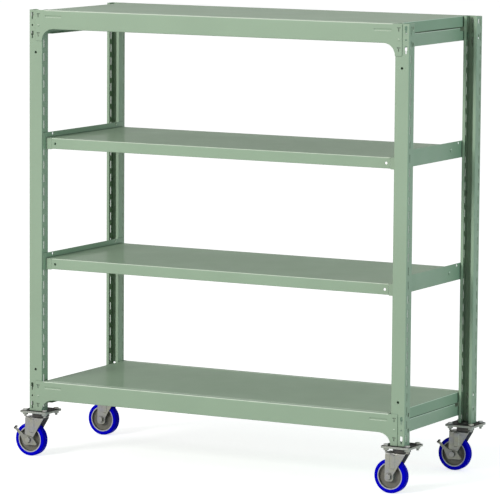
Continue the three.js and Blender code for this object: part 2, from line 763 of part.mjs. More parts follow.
// Brake lever: a plate around the axle, an arm up to the back of the tyre and a bar across the tread
function makeLever() {
  const axle = [-wheelTrail, wheelRadius];
  const legFace = wheelGap / 2 + forkSheet;
  const span = [-(legFace + fitGap + leverThickness), -(legFace + fitGap)];
  const along = new THREE.Vector2(-leverReach, leverRise).normalize();
  const across = new THREE.Vector2(-along.y, along.x);
  const tip = [axle[0] - leverReach, axle[1] + leverRise];
  const side = (place, amount) => [place[0] + across.x * amount, place[1] + across.y * amount];
  const corner = (reach, rise) => [axle[0] + reach, axle[1] + rise];
  const plate = [
    side(tip, leverTipWidth / 2), corner(-leverBackReach, leverBackRise),
    corner(-leverHeelReach, -leverHeelDrop), corner(leverToeReach, -leverToeDrop),
    corner(leverCrestReach, leverCrestRise), corner(-leverShoulderReach, leverShoulderRise),
    side(tip, -leverTipWidth / 2),
  ];
  const far = [tip[0] + along.x * barThickness, tip[1] + along.y * barThickness];
  const bar = [
    side(tip, -barWidth / 2), side(far, -barWidth / 2), side(far, barWidth / 2), side(tip, barWidth / 2),
  ];
  const hole = bore(axleHoleRadius, roundSteps, axle);
  const pieces = [
    alongY(ring(leverEyeRadius, raceSteps, axle), span),
    alongY(plate, span),
    alongY(bar, [span[0], span[0] + barLength]),
  ];
  return cut(join(pieces), [alongY(hole, [span[0] - cutOverrun, span[1] + cutOverrun])]);
}

// Rubber pad on the lever's toe bar
function makePad() {
  const axle = [-wheelTrail, wheelRadius];
  const along = new THREE.Vector2(-leverReach, leverRise).normalize();
  const across = new THREE.Vector2(-along.y, along.x);
  const start = -(wheelGap / 2 + forkSheet + fitGap + leverThickness);
  const low = barThickness + fitGap;
  const place = (reach, amount) => [
    axle[0] - leverReach + along.x * reach + across.x * amount,
    axle[1] + leverRise + along.y * reach + across.y * amount,
  ];
  const outline = [
    place(low, -barWidth / 2), place(low + padThickness, -barWidth / 2 + fitGap),
    place(low + padThickness, barWidth / 2 - fitGap), place(low, barWidth / 2),
  ];
  return alongY(outline, [start, start + barLength]);
}

// Frame
for (const { name, x, y } of corners) {
  const corner = [(x * rackWidth) / 2, (y * rackDepth) / 2, postBottom];
  addPiece(`post_${name}`, makePost(x, y), paint, ...corner);
}
for (const { name: level, height, tieDrop } of levels) {
  const z = postBottom + height;
  for (const { name, y } of tieDrop ? fronts : []) {
    addPiece(`beam_${level}_${name}`, makeBeam(y), paint, 0, (y * rackDepth) / 2, z);
  }
  for (const { name, x } of sides) {
    const rail = tieDrop ? makeTie(x, tieDrop) : makeSupport(x);
    const kind = tieDrop ? 'side_tie' : 'side_support';
    addPiece(`${kind}_${level}_${name}`, rail, paint, x * innerWall, 0, z);
  }
  addPiece(`shelf_${level}`, makeShelf(!tieDrop), shelfPaint, 0, 0, z);
  addPiece(`stiffener_${level}`, makeStiffener(), paint, 0, 0, z);
}

// Casters
for (const { name, x, y, brake } of corners) {
  const place = [x * casterX, y * casterY, 0];
  addPiece(`foot_plate_${name}`, makeFootPlate(), darkSteel, ...place);
  addPiece(`caster_plate_${name}`, makeCasterPlate(), darkSteel, ...place);
  addPiece(`kingpin_${name}`, makeKingpin(), zinc, ...place);
  addPiece(`ball_cage_${name}`, makeBallCage(), zinc, ...place);
  addPiece(`fork_${name}`, makeFork(), zinc, ...place);
  addPiece(`axle_${name}`, makeAxle(brake), zinc, ...place);
  addPiece(`hub_${name}`, makeHub(), hubGrey, ...place);
  addPiece(`tyre_${name}`, makeTyre(), tyreBlue, ...place);
  if (brake) {
    addPiece(`brake_lever_${name}`, makeLever(), zinc, ...place);
    addPiece(`lever_pad_${name}`, makePad(), padBlack, ...place);
  }
}

export default part;
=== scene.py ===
from math import cos, hypot, pi, radians, sin

import bmesh
import bpy
from mathutils import Matrix, Vector
from mathutils.geometry import delaunay_2d_cdt


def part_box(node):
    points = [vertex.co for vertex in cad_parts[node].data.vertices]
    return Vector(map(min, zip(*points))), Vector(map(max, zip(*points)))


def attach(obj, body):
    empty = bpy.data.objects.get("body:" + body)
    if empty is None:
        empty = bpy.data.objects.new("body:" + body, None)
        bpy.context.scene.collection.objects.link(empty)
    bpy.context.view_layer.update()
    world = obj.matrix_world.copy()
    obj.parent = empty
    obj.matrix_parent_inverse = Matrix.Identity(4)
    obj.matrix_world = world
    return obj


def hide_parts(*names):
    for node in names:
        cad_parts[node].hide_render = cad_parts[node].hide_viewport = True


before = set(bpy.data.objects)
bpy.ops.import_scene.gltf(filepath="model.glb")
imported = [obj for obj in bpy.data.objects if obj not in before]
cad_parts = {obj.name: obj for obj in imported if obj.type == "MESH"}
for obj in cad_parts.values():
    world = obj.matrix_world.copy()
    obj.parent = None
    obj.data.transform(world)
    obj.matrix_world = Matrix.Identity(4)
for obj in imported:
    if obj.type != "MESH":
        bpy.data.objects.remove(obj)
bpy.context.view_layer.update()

# Posts: roll-formed channels of 2 mm sheet with their lips turned in, web outwards. Both side walls
# are slotted every 50 mm for the shelf supports, and the web has keyholes and pin holes near both
# ends for the beams. Powder-coated in sage green after punching and forming.
mm = 0.001
corners = {"front_left": (-1, -1), "front_right": (1, -1), "rear_left": (-1, 1), "rear_right": (1, 1)}
post_sheet = 2 * mm
post_bend = 2 * mm
post_lip = 12 * mm
slot_pitch = 50 * mm
first_slot = 25 * mm
slot_inset = 15 * mm
slot_width = 5 * mm
slot_height = 30 * mm
slot_corner = 2 * mm
tie_slot_inset = 30 * mm
tie_slot_width = 8 * mm
tie_slot_height = 16 * mm
tie_slots_low = (54 * mm, 110 * mm)
tie_slots_high = (74 * mm, 18 * mm)
key_column_outer = 13 * mm
key_column_inner = 40 * mm
key_near = 22 * mm
key_far = 92 * mm
key_wide = 10 * mm
key_narrow = 5 * mm
key_wide_height = 16 * mm
key_narrow_height = 12 * mm
key_height = key_wide_height + key_narrow_height
key_top_share = 0.5
key_foot_share = 0.6
key_waist_corner = 1 * mm
hook_slot_corner = 1.5 * mm
pin_hole_inset = 57 * mm
pin_hole_radius = 3.5 * mm
end_hole_inset = 157 * mm
end_hole_radius = 5 * mm
bend_steps = 4
edge_round = 0.35 * mm
weld_reach = 0.004 * mm
panel_tolerance = 0.00001
flat_within = radians(0.3)
smooth_within = radians(32)
round_beyond = radians(50)
sage_green = (0.335, 0.455, 0.325)
primer_grey = (0.46, 0.49, 0.45)
scuff_green = (0.47, 0.58, 0.46)
# painted highlight: the pale green laid on bends that face up and outwards
highlight_green = (0.84, 0.94, 0.8)
# painted shade: the near-black green laid into joints and punched holes
recess_shade_green = (0.05, 0.08, 0.055)


def rounded(points, steps=3):
    """An outline whose corners, given as (across, along, radius), are rounded to their radius"""
    outline = []
    for i, (a, b, radius) in enumerate(points):
        corner = Vector((a, b))
        if not radius:
            outline.append(corner)
            continue
        before = (Vector(points[i - 1][:2]) - corner).normalized()
        after = (Vector(points[(i + 1) % len(points)][:2]) - corner).normalized()
        half = before.angle(after) / 2
        centre = corner + (before + after).normalized() * radius / sin(half)
        start = (corner + before * radius * cos(half) / sin(half) - centre).normalized()
        end = (corner + after * radius * cos(half) / sin(half) - centre).normalized()
        outline += [centre + start.slerp(end, k / steps) * radius for k in range(steps + 1)]
    return outline


def slot(a, b, width, height, corner):
    """A slot or a plate with rounded corners, centred on a and b"""
    left, right, low, high = a - width / 2, a + width / 2, b - height / 2, b + height / 2
    return rounded([(x, y, corner) for x, y in ((left, low), (right, low), (right, high), (left, high))])


def disc(a, b, radius, steps=20):
    turns = [2 * pi * i / steps for i in range(steps)]
    return [Vector((a + radius * cos(turn), b + radius * sin(turn))) for turn in turns]


def add_panel(mesh, loops, on_flat):
    """A flat panel of sheet: its outline first, then the holes punched through it"""
    drawn, rounds = [], []
    for loop in loops:
        points = [Vector((p[0] / mm, p[1] / mm)) for p in loop]
        if sum(a.cross(b) for a, b in zip(points, points[1:] + points[:1])) < 0:
            points.reverse()
        rounds.append(list(range(len(drawn), len(drawn) + len(points))))
        drawn += points
    flat, _, triangles, _, _, within = delaunay_2d_cdt(drawn, [], rounds, 1, panel_tolerance)
    on_sheet = [mesh.verts.new(on_flat(p.x * mm, p.y * mm)) for p in flat]
    for triangle, regions in zip(triangles, within):
        if list(regions) == [0]:
            mesh.faces.new([on_sheet[i] for i in triangle])


def fold_sheet(
        mesh, section, spans, place, bend, sheet, holes=None, outlines=None, beyond=None, skip=0):
    """Folds a sheet along a section of square bends, which gives the sheet's middle line.

    spans holds the two ends of each flat along the length. Where a neighbour is shorter, the flat
    runs on to the outside of the fold, or to the place that beyond names. holes, outlines and beyond
    go by the number of the flat, and the first flats, as many as skip, are left out.
    """
    section = [Vector(point) for point in section]
    ways = [(end - start).normalized() for start, end in zip(section, section[1:])]
    folds = [(max(a[0], b[0]), min(a[1], b[1])) for a, b in zip(spans, spans[1:])]

    def edge(i, fold, trimmed, outside):
        low, high = spans[i]
        if fold is None:
            return [(outside, low), (outside, high)]
        points = [(outside, low), (outside, fold[0])] if fold[0] > low else []
        points += [(trimmed, fold[0]), (trimmed, fold[1])]
        return points + ([(outside, fold[1]), (outside, high)] if fold[1] < high else [])

    for i, (start, way) in enumerate(zip(section, ways)):
        on_flat = lambda across, along: place(start + way * across, along)
        length = (section[i + 1] - start).length
        if i >= skip:
            near_out, far_out = (beyond or {}).get(i, (-sheet / 2, length + sheet / 2))
            near = edge(i, folds[i - 1], bend, near_out) if i else edge(i, None, 0, 0)
            last = i == len(ways) - 1
            far = edge(i, None, 0, length) if last else edge(i, folds[i], length - bend, far_out)
            outline = (outlines or {}).get(i) or near + far[::-1]
            add_panel(mesh, [outline, *(holes or {}).get(i, [])], on_flat)
        if i + 1 < len(ways):
            centre = section[i + 1] + (ways[i + 1] - way) * bend
            turns = [pi / 2 * k / bend_steps for k in range(bend_steps + 1)]
            arc = [centre + (way * sin(turn) - ways[i + 1] * cos(turn)) * bend for turn in turns]
            ends = [[mesh.verts.new(place(point, along)) for point in arc] for along in folds[i]]
            for k in range(bend_steps):
                mesh.faces.new((ends[0][k], ends[0][k + 1], ends[1][k + 1], ends[1][k]))


def add_piece(name, mesh, finish, body="frame", sheet=0, edge=edge_round, extra=False):
    """Makes a piece, gives sheet its thickness and each edge a small round, and ties it to the rack.

    A finish is a material and the name of its slot, but only the material is used here. A piece stands
    in for the solid of its own name, but an extra one only belongs to a piece that does.
    """
    bmesh.ops.remove_doubles(mesh, verts=mesh.verts, dist=weld_reach)
    if sheet:
        bmesh.ops.dissolve_limit(mesh, angle_limit=flat_within, verts=mesh.verts, edges=mesh.edges)
    bmesh.ops.recalc_face_normals(mesh, faces=mesh.faces)
    data = bpy.data.meshes.new(name)
    mesh.to_mesh(data)
    mesh.free()
    data.polygons.foreach_set("use_smooth", [True] * len(data.polygons))
    data.set_sharp_from_angle(angle=smooth_within)
    data.materials.append(finish[0])
    piece = bpy.data.objects.new(name + "_shape", data)
    bpy.context.scene.collection.objects.link(piece)
    if sheet:
        thicken = piece.modifiers.new("sheet", "SOLIDIFY")
        thicken.thickness = sheet
        thicken.offset = 0
        thicken.use_even_offset = True
    if edge:
        soften = piece.modifiers.new("edges", "BEVEL")
        soften.width = edge
        soften.segments = 2
        soften.limit_method = "ANGLE"
        soften.angle_limit = round_beyond
    piece.modifiers.new("shading", "WEIGHTED_NORMAL").keep_sharp = True
    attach(piece, body)
    if not extra:
        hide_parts(name)
    return piece


def set_inputs(tree, node, inputs):
    """Sets a node's inputs to values, or joins them to other nodes"""
    for key, value in inputs.items():
        if isinstance(value, bpy.types.NodeSocket):
            tree.links.new(value, node.inputs[key])
        else:
            node.inputs[key].default_value = value


def add_node(tree, kind, inputs=None, **settings):
    node = tree.nodes.new(kind)
    for key, value in settings.items():
        setattr(node, key, value)
    set_inputs(tree, node, inputs or {})
    return node


def add_noise(tree, where, scale, detail, stretch=None):
    if stretch:
        where = add_node(tree, "ShaderNodeMapping", {"Vector": where, "Scale": stretch}).outputs[0]
    inputs = {"Vector": where, "Scale": scale, "Detail": detail}
    return add_node(tree, "ShaderNodeTexNoise", inputs).outputs[0]


def ramp(tree, value, low, high, to_low=0.0, to_high=1.0):
    inputs = {"Value": value, "From Min": low, "From Max": high, "To Min": to_low, "To Max": to_high}
    return add_node(tree, "ShaderNodeMapRange", inputs).outputs[0]


def patches(tree, where, scale, detail, low=0.3, high=0.7, to_low=0.0, to_high=1.0, stretch=None):
    """Uneven patches, about as many as scale in a metre, that run from to_low to to_high"""
    return ramp(tree, add_noise(tree, where, scale, detail, stretch), low, high, to_low, to_high)


def work_out(tree, operation, a, b):
    return add_node(tree, "ShaderNodeMath", {0: a, 1: b}, operation=operation).outputs[0]


def blend_colour(tree, share, a, b):
    ends = [value if isinstance(value, bpy.types.NodeSocket) else (*value, 1) for value in (a, b)]
    inputs = {"Factor": share, 6: ends[0], 7: ends[1]}
    return add_node(tree, "ShaderNodeMix", inputs, data_type="RGBA").outputs[2]


def lay_over(tree, tone, mask, share, colour):
    """Lays a share of a colour over a tone, where the mask is 1"""
    return blend_colour(tree, work_out(tree, "MULTIPLY", mask, share), tone, colour)


def shaded(colour, share):
    return tuple(min(1, part * share) for part in colour)


def relief(tree, height, strength, depth, below=None):
    """Fine bumps in the surface, laid over the coarser ones below them"""
    inputs = {"Height": height, "Strength": strength, "Distance": depth}
    if below:
        inputs["Normal"] = below
    return add_node(tree, "ShaderNodeBump", inputs).outputs[0]


def start_finish(name):
    """A new finish: its node tree, its shader, and places on the piece in metres"""
    material = bpy.data.materials.new(name)
    material.use_nodes = True
    tree = material.node_tree
    where = add_node(tree, "ShaderNodeTexCoord").outputs["Object"]
    return material, tree, tree.nodes["Principled BSDF"], where


def worn_edges(tree, where, radius, share):
    """1 where an outer edge has lost its finish: along sharp edges, broken up in patches"""
    soft = add_node(tree, "ShaderNodeBevel", {"Radius": radius}, samples=4).outputs[0]
    flat = add_node(tree, "ShaderNodeNewGeometry").outputs["Normal"]
    bent = add_node(tree, "ShaderNodeVectorMath", {0: soft, 1: flat}, operation="DOT_PRODUCT")
    at_edge = ramp(tree, bent.outputs["Value"], low=0.985, high=0.9)
    worn = patches(tree, where, scale=60, detail=4, low=0.62 - share, high=0.72 - share)
    return work_out(tree, "MULTIPLY", at_edge, worn)


def painted_bend_highlight(tree):
    """1 on a bend that faces up and outwards, where a painted highlight is laid, and 0 on the flats"""
    way = add_node(tree, "ShaderNodeTexCoord").outputs["Normal"]
    up = add_node(tree, "ShaderNodeSeparateXYZ", {0: way}).outputs["Z"]
    level = work_out(tree, "SUBTRACT", 1.0, work_out(tree, "MULTIPLY", up, up))
    return ramp(tree, work_out(tree, "MULTIPLY", up, level), low=0.08, high=0.25)


def painted_recess_shade(tree, reach):
    """1 deep in a joint or a punched hole, and 0 in the open: where painted shade is laid"""
    clear = add_node(tree, "ShaderNodeAmbientOcclusion", {"Distance": reach}, samples=8).outputs["AO"]
    return ramp(tree, clear, low=0.4, high=0.88, to_low=1, to_high=0)


def paint_steel(name, colour, scuffed, roughness, skin):
    """Powder coat on sheet steel: orange peel, soft clouding, fine scuffs and chipped edges, with a
    painted highlight on upward bends and painted shade in joints and holes
    """
    material, tree, shader, where = start_finish(name)
    cloud = patches(tree, where, scale=3.2, detail=3)
    grain = patches(tree, where, scale=900, detail=1, low=0.35, high=0.65)
    lines = patches(tree, where, scale=26, detail=2, low=0.67, high=0.74, stretch=(1, 14, 38))
    worn = patches(tree, where, scale=5, detail=2, low=0.5, high=0.66)
    rubbed = work_out(tree, "MULTIPLY", lines, worn)
    chips = worn_edges(tree, where, radius=1.4 * mm, share=0.02)
    tone = blend_colour(tree, cloud, shaded(colour, 0.955), shaded(colour, 1.035))
    tone = lay_over(tree, tone, grain, 0.06, scuff_green)
    tone = lay_over(tree, tone, rubbed, scuffed, scuff_green)
    # painted highlight along the bends that face up and outwards
    tone = lay_over(tree, tone, painted_bend_highlight(tree), 0.85, highlight_green)
    tone = lay_over(tree, tone, chips, 0.55, primer_grey)
    # painted shade in joints and punched holes, found by ambient occlusion
    tone = lay_over(tree, tone, painted_recess_shade(tree, reach=7 * mm), 0.8, recess_shade_green)
    dull = patches(tree, where, scale=14, detail=4, to_low=roughness - 0.05, to_high=roughness + 0.07)
    waves = add_noise(tree, where, scale=430, detail=1.5)
    peel = relief(tree, waves, strength=0.1, depth=0.25 * mm)
    scored = relief(tree, rubbed, strength=0.2, depth=0.05 * mm, below=peel)
    set_inputs(tree, shader, {"Base Color": tone, "Roughness": dull, "Normal": scored, **skin})
    return material


sage_skin = {"Specular IOR Level": 0.35}
sage_coat = paint_steel("sage_powder_coat", sage_green, scuffed=0.2, roughness=0.42, skin=sage_skin)
frame_paint = (sage_coat, "frame_paint")


def keyhole(a, b):
    """A wide upper part for the hook to enter, and a narrow slot below it for the hook to drop into"""
    top = b + key_height / 2
    waist = top - key_wide_height
    low = waist - key_narrow_height
    wide, narrow = key_wide / 2, key_narrow / 2
    return rounded([
        (a + wide, top, wide * key_top_share), (a - wide, top, wide * key_top_share),
        (a - wide, waist, key_waist_corner), (a - narrow, waist, 0),
        (a - narrow, low, narrow * key_foot_share), (a + narrow, low, narrow * key_foot_share),
        (a + narrow, waist, 0), (a + wide, waist, key_waist_corner),
    ])


def make_post(name, sx, sy):
    low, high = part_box(f"post_{name}")
    width, depth, length = high - low
    outer_x = high.x if sx > 0 else low.x
    outer_y = high.y if sy > 0 else low.y
    half = post_sheet / 2
    section = [
        (post_lip, depth - half), (half, depth - half), (half, half),
        (width - half, half), (width - half, depth - half), (width - post_lip, depth - half),
    ]
    slots = [first_slot + i * slot_pitch for i in range(round(length / slot_pitch))]
    tie_slots = [*tie_slots_low, *(length - drop for drop in tie_slots_high)]
    holes = {2: []}
    for wall, across in ((1, lambda inset: depth - half - inset), (3, lambda inset: inset - half)):
        shelf_at, tie_at = across(slot_inset), across(tie_slot_inset)
        holes[wall] = [slot(shelf_at, z, slot_width, slot_height, slot_corner) for z in slots]
        holes[wall] += [slot(tie_at, z, tie_slot_width, tie_slot_height, slot_corner) for z in tie_slots]
    for from_end in (lambda z: z, lambda z: length - z):
        for z in (from_end(key_near), from_end(key_far)):
            holes[2].append(keyhole(key_column_outer - half, z))
            holes[2].append(slot(key_column_inner - half, z, key_narrow, key_height, hook_slot_corner))
        for column in (key_column_outer, key_column_inner):
            holes[2].append(disc(column - half, from_end(pin_hole_inset), pin_hole_radius))
        holes[2].append(disc(width / 2 - half, from_end(end_hole_inset), end_hole_radius))
    spans = [(0, length)] * (len(section) - 1)
    place = lambda point, along: Vector((outer_x - sx * point.x, outer_y - sy * point.y, low.z + along))
    mesh = bmesh.new()
    fold_sheet(mesh, section, spans, place, post_bend, post_sheet, holes)
    add_piece(f"post_{name}", mesh, frame_paint, sheet=post_sheet)


for name, (sx, sy) in corners.items():
    make_post(name, sx, sy)

# Beams: one at the front and rear of the top and the bottom level, folded from 2 mm sheet. A gusset
# hangs at each end over the post's web, with two hooks pushed in through T-shaped punchings, a
# pressed groove beside it and a riveted lock pin. Painted like the posts.
beam_sheet = 2 * mm
beam_bend = 2.5 * mm
beam_height = 70 * mm
beam_depth = 27 * mm
beam_ledge = 16 * mm
beam_ledge_drop = 40.3 * mm
beam_lip = 10 * mm
beam_end_gap = 37.5 * mm
gusset_fillet = 44 * mm
gusset_width = 27.5 * mm
gusset_corner = 3 * mm
fillet_steps = 8
flange_relief = 3 * mm
groove_inset = 40 * mm
groove_length = 72 * mm
groove_height = 9 * mm
groove_drop = 23 * mm
groove_depth = 2 * mm
groove_slope = 2.2 * mm
groove_rim_share = 0.45
groove_bed_share = 0.3
hook_inset = 12.5 * mm
punch_bar_width = 13 * mm
punch_bar_height = 4 * mm
punch_rise = 9 * mm
punch_stem_width = 4.4 * mm
punch_stem_height = 11 * mm
punch_corner = 1 * mm
hook_thickness = 3 * mm
hook_arm = 7.1 * mm
hook_nose = 4.6 * mm
hook_seat = 13.7 * mm
hook_nose_drop = 8 * mm
hook_rise = 12 * mm
hook_corner = 1 * mm
hook_edge = 0.25 * mm
lock_head_radius = 4.5 * mm
lock_head_height = 1.5 * mm
lock_pin_radius = 3 * mm
lock_pin_end = 10.3 * mm
dome_brim_share = 0.35
dome_turns = (0.25, 0.6, 0.95, 1.25)
face_of = {"front": -1, "rear": 1}


def join_loops(mesh, first, second):
    """A closed strip of faces from one loop of corners to another"""
    for i in range(len(first)):
        j = (i + 1) % len(first)
        mesh.faces.new((first[i], first[j], second[j], second[i]))


def add_emboss(mesh, outer, inner, on_flat, raised):
    """A pressed form: a sloped ring from the sheet's face to a raised or sunk floor"""
    rim = [mesh.verts.new(on_flat(p[0], p[1])) for p in outer]
    floor = [mesh.verts.new(raised(p[0], p[1])) for p in inner]
    join_loops(mesh, rim, floor)
    mesh.faces.new(floor)


def add_plate(mesh, outline, place, thickness):
    """A flat plate cut to an outline; place takes a point of the outline and a depth into the plate"""
    near, far = [[mesh.verts.new(place(p[0], p[1], depth)) for p in outline] for depth in (0, thickness)]
    join_loops(mesh, near, far)
    mesh.faces.new(near)
    mesh.faces.new(far[::-1])


def add_turned(mesh, profile, place, steps=32):
    """A turned piece: a closed profile of radius and height, spun about its own axis"""
    turns = [2 * pi * i / steps for i in range(steps)]
    rings = [
        [mesh.verts.new(place @ Vector((r * cos(turn), r * sin(turn), h))) for r, h in profile]
        for turn in turns
    ]
    for i, ring in enumerate(rings):
        join_loops(mesh, ring, rings[(i + 1) % steps])


def domed(radius, low, high, shank, end):
    """Profile of a rivet: a domed head from low to high on a shank that runs to end"""
    rise = lambda turn: dome_brim_share + (1 - dome_brim_share) * sin(turn)
    dome = [(radius * cos(turn), low + (high - low) * rise(turn)) for turn in dome_turns]
    return [(0, end), (shank, end), (shank, low), (radius, low), *dome, (0, high)]


def punched_t(z, along):
    """Outline of the T-shaped punching that a hook is pushed in from, centred on its hook"""
    top, waist = z - punch_rise, z - punch_rise + punch_bar_height
    foot = waist + punch_stem_height
    bar, stem = punch_bar_width / 2, punch_stem_width / 2
    return rounded([
        (waist, along - bar, punch_corner), (top, along - bar, punch_corner),
        (top, along + bar, punch_corner), (waist, along + bar, punch_corner),
        (waist, along + stem, 0), (foot, along + stem, punch_corner),
        (foot, along - stem, punch_corner), (waist, along - stem, 0),
    ])


def make_beam(level, face):
    low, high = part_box(f"beam_{level}_{face}")
    middle = (low.x + high.x) / 2
    span = (high.x - low.x) / 2
    drop = high.z - low.z
    side = face_of[face]
    face_y = high.y - lock_head_height if side > 0 else low.y + lock_head_height
    half = beam_sheet / 2
    clear = span - beam_end_gap
    section = [
        (beam_depth + beam_ledge, beam_ledge_drop + half), (beam_depth - half, beam_ledge_drop + half),
        (beam_depth - half, half), (half, half), (half, beam_height - half),
        (beam_depth - half, beam_height - half), (beam_depth - half, beam_height - beam_lip),
    ]
    place = lambda point, along: Vector((middle + along, face_y - side * point.x, high.z - point.y))
    fillet_start = span - gusset_width - gusset_fillet
    flange_end = fillet_start - flange_relief
    spans = [(-clear, clear)] * 4 + [(-flange_end, flange_end)] * 2
    turns = [pi / 2 * k / fillet_steps for k in range(fillet_steps + 1)]
    fillet = [
        (drop - half - gusset_fillet * sin(turn), fillet_start + gusset_fillet * cos(turn), 0)
        for turn in turns
    ]
    right = [
        (beam_bend, clear, 0), (-half, clear, 0), (-half, span, gusset_corner),
        (drop - half, span, gusset_corner), *fillet,
        (beam_height - half, flange_end, 0), (beam_height - beam_sheet - beam_bend, flange_end, 0),
    ]
    left = [(a, -b, radius) for a, b, radius in reversed(right)]
    on_face = lambda across, along: place(Vector((half, half + across)), along)
    sunk = lambda across, along: place(Vector((half + groove_depth, half + across)), along)
    holes = []
    mesh, solid = bmesh.new(), bmesh.new()
    for end in (-1, 1):
        groove = (groove_drop - half, end * (span - groove_inset - groove_length / 2))
        bed_height, bed_length = groove_height - groove_slope, groove_length - groove_slope
        rim = slot(*groove, groove_height, groove_length, groove_height * groove_rim_share)
        bed = slot(*groove, bed_height, bed_length, groove_height * groove_bed_share)
        holes.append(rim)
        add_emboss(mesh, rim, bed, on_face, sunk)
        hook_at = end * (span - hook_inset)
        for key in (key_near, key_far):
            holes.append(punched_t(key - half, hook_at))
            top, seat = key - hook_rise, key + hook_seat
            nose = seat + hook_nose_drop
            hook = [
                (beam_sheet, top, 0), (hook_arm, top, hook_corner), (hook_arm, nose, hook_corner),
                (hook_nose, nose, hook_corner), (hook_nose, seat, 0), (beam_sheet, seat, 0),
            ]
            blade = lambda a, b, deep: place(Vector((a, b)), hook_at - hook_thickness / 2 + deep)
            add_plate(solid, rounded(hook), blade, hook_thickness)
        pin = domed(lock_head_radius, 0, lock_head_height, lock_pin_radius, -lock_pin_end)
        pin_place = Matrix.Translation(place(Vector((0, pin_hole_inset)), hook_at))
        add_turned(solid, pin, pin_place @ Matrix.Rotation(side * -pi / 2, 4, "X"), steps=24)
    outlines = {3: rounded(right + left)}
    fold_sheet(mesh, section, spans, place, beam_bend, beam_sheet, {3: holes}, outlines)
    add_piece(f"beam_{level}_{face}", mesh, frame_paint, sheet=beam_sheet)
    add_piece(f"hooks_{level}_{face}", solid, frame_paint, edge=hook_edge, extra=True)


for level in ("bottom", "top"):
    for face in face_of:
        make_beam(level, face)

# Side ties: folded channels under the top and the bottom shelf, one at each side. Hooks at both ends
# go out through the short slots in the posts' side walls. The upper corners are cut back to clear
# the beams. Same sheet and paint as the beams.
rail_sheet = 2 * mm
rail_bend = 2 * mm
rail_gap = 0.3 * mm
rail_hook_width = 4 * mm
rail_hook_back = 2.3 * mm
rail_hook_end = 4.8 * mm
rail_hook_nose = 8 * mm
tie_notch_length = 64 * mm
tie_notch_depth = 12 * mm
tie_flange_setback = 44 * mm
tie_flange = 14.3 * mm
tie_height = 47 * mm
tie_hook_inset = 24 * mm
tie_hook_height = 6 * mm
tie_hook_drop = {"bottom": 27.4 * mm, "top": 41.4 * mm}
side_of = {"left": -1, "right": 1}


def rail_frame(node, side):
    """Half a rail's length, its lower and upper side, and places counted from the post's inner wall"""
    low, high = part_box(node)
    wall = (low.x + rail_hook_end) if side < 0 else (high.x - rail_hook_end)
    return (high.y - low.y) / 2, low.z, high.z, lambda a, z, y: Vector((wall - side * a, y, z))


def add_rail_hook(mesh, at, along, seat, height):
    """A hook pressed out of a rail's end: out through the post's slot and down behind its wall"""
    nose, top = seat - rail_hook_nose, seat + height
    hook = [
        (rail_gap, seat, 0), (-rail_hook_back, seat, 0), (-rail_hook_back, nose, hook_corner),
        (-rail_hook_end, nose, hook_corner), (-rail_hook_end, top, hook_corner), (rail_gap, top, 0),
    ]
    blade = lambda a, z, deep: at(a, z, along - rail_hook_width / 2 + deep)
    add_plate(mesh, rounded(hook), blade, rail_hook_width)


def make_side_tie(level, side_name):
    node = f"side_tie_{level}_{side_name}"
    reach, low, _, at = rail_frame(node, side_of[side_name])
    half = rail_sheet / 2
    web = rail_gap + half
    top = low + tie_height
    section = [(tie_flange, top - half), (web, top - half), (web, low + half), (tie_flange, low + half)]
    inner, flange = reach - tie_notch_length, reach - tie_flange_setback
    spans = [(-inner, inner), (-reach, reach), (-flange, flange)]
    beyond = {1: (tie_notch_depth - half, tie_height - half)}
    place = lambda point, along: at(point.x, point.y, along)
    mesh, hooks = bmesh.new(), bmesh.new()
    fold_sheet(mesh, section, spans, place, rail_bend, rail_sheet, beyond=beyond)
    for end in (-1, 1):
        seat = top - tie_hook_drop[level]
        add_rail_hook(hooks, at, end * (reach - tie_hook_inset), seat, tie_hook_height)
    add_piece(node, mesh, frame_paint, sheet=rail_sheet)
    add_piece(f"tie_hooks_{level}_{side_name}", hooks, frame_paint, edge=hook_edge, extra=True)


for level in ("bottom", "top"):
    for side_name in side_of:
        make_side_tie(level, side_name)

# Side supports: one at each side of both middle shelves. The web stands above the shelf as a low
# edge with a hole near each end, a ledge carries the pan, and hooks at both ends hang in the posts'
# slots. Two bolts with nuts hold the pan's edge to the web. All painted, the bolts too.
support_ledge = 18.3 * mm
support_ledge_setback = 23 * mm
support_tab_reach = 26.4 * mm
support_tab_y = 279.7 * mm
support_tab_top = 40.4 * mm
support_tab_corner = 3 * mm
support_hole_inset = 67 * mm
support_hole_drop = 7 * mm
support_hole_radius = 4.5 * mm
support_hook_inset = 9 * mm
support_hook_rise = 27.6 * mm
support_hook_height = 12 * mm
shelf_bolt_inset = 131 * mm
shelf_bolt_drop = 29 * mm
shelf_bolt_radius = 3 * mm
shelf_bolt_head_radius = 7 * mm
shelf_bolt_head_height = 3 * mm
shelf_nut_radius = 5.8 * mm
shelf_nut_face = 4.5 * mm
shelf_nut_height = 5 * mm
shelf_bolt_end = 11.5 * mm
thread_pitch = 1.25 * mm
thread_depth = 0.45 * mm
hexagon_steps = 24
hexagon_cone_share = 0.96
hexagon_cone_slope = 0.5


def add_hexagon(mesh, place, radius, low, high, both_ends=False):
    """A hexagon head or nut, its corners turned down to a cone"""
    flat = radius * cos(pi / 6)
    cone = flat * hexagon_cone_share
    up = Vector((0, 0, 1))
    rings = []
    for i in range(hexagon_steps):
        turn = 2 * pi * i / hexagon_steps
        reach = flat / cos((turn + pi / 6) % (pi / 3) - pi / 6)
        drop = (reach - cone) * hexagon_cone_slope
        way = Vector((cos(turn), sin(turn), 0))
        ring = [way * cone + up * low] if both_ends else []
        ring += [way * reach + up * (low + drop * both_ends), way * reach + up * (high - drop)]
        rings.append([mesh.verts.new(place @ point) for point in (*ring, way * cone + up * high)])
    for i, ring in enumerate(rings):
        after = rings[(i + 1) % len(rings)]
        for j in range(len(ring) - 1):
            mesh.faces.new((ring[j], after[j], after[j + 1], ring[j + 1]))
    mesh.faces.new([ring[0] for ring in reversed(rings)])
    mesh.faces.new([ring[-1] for ring in rings])


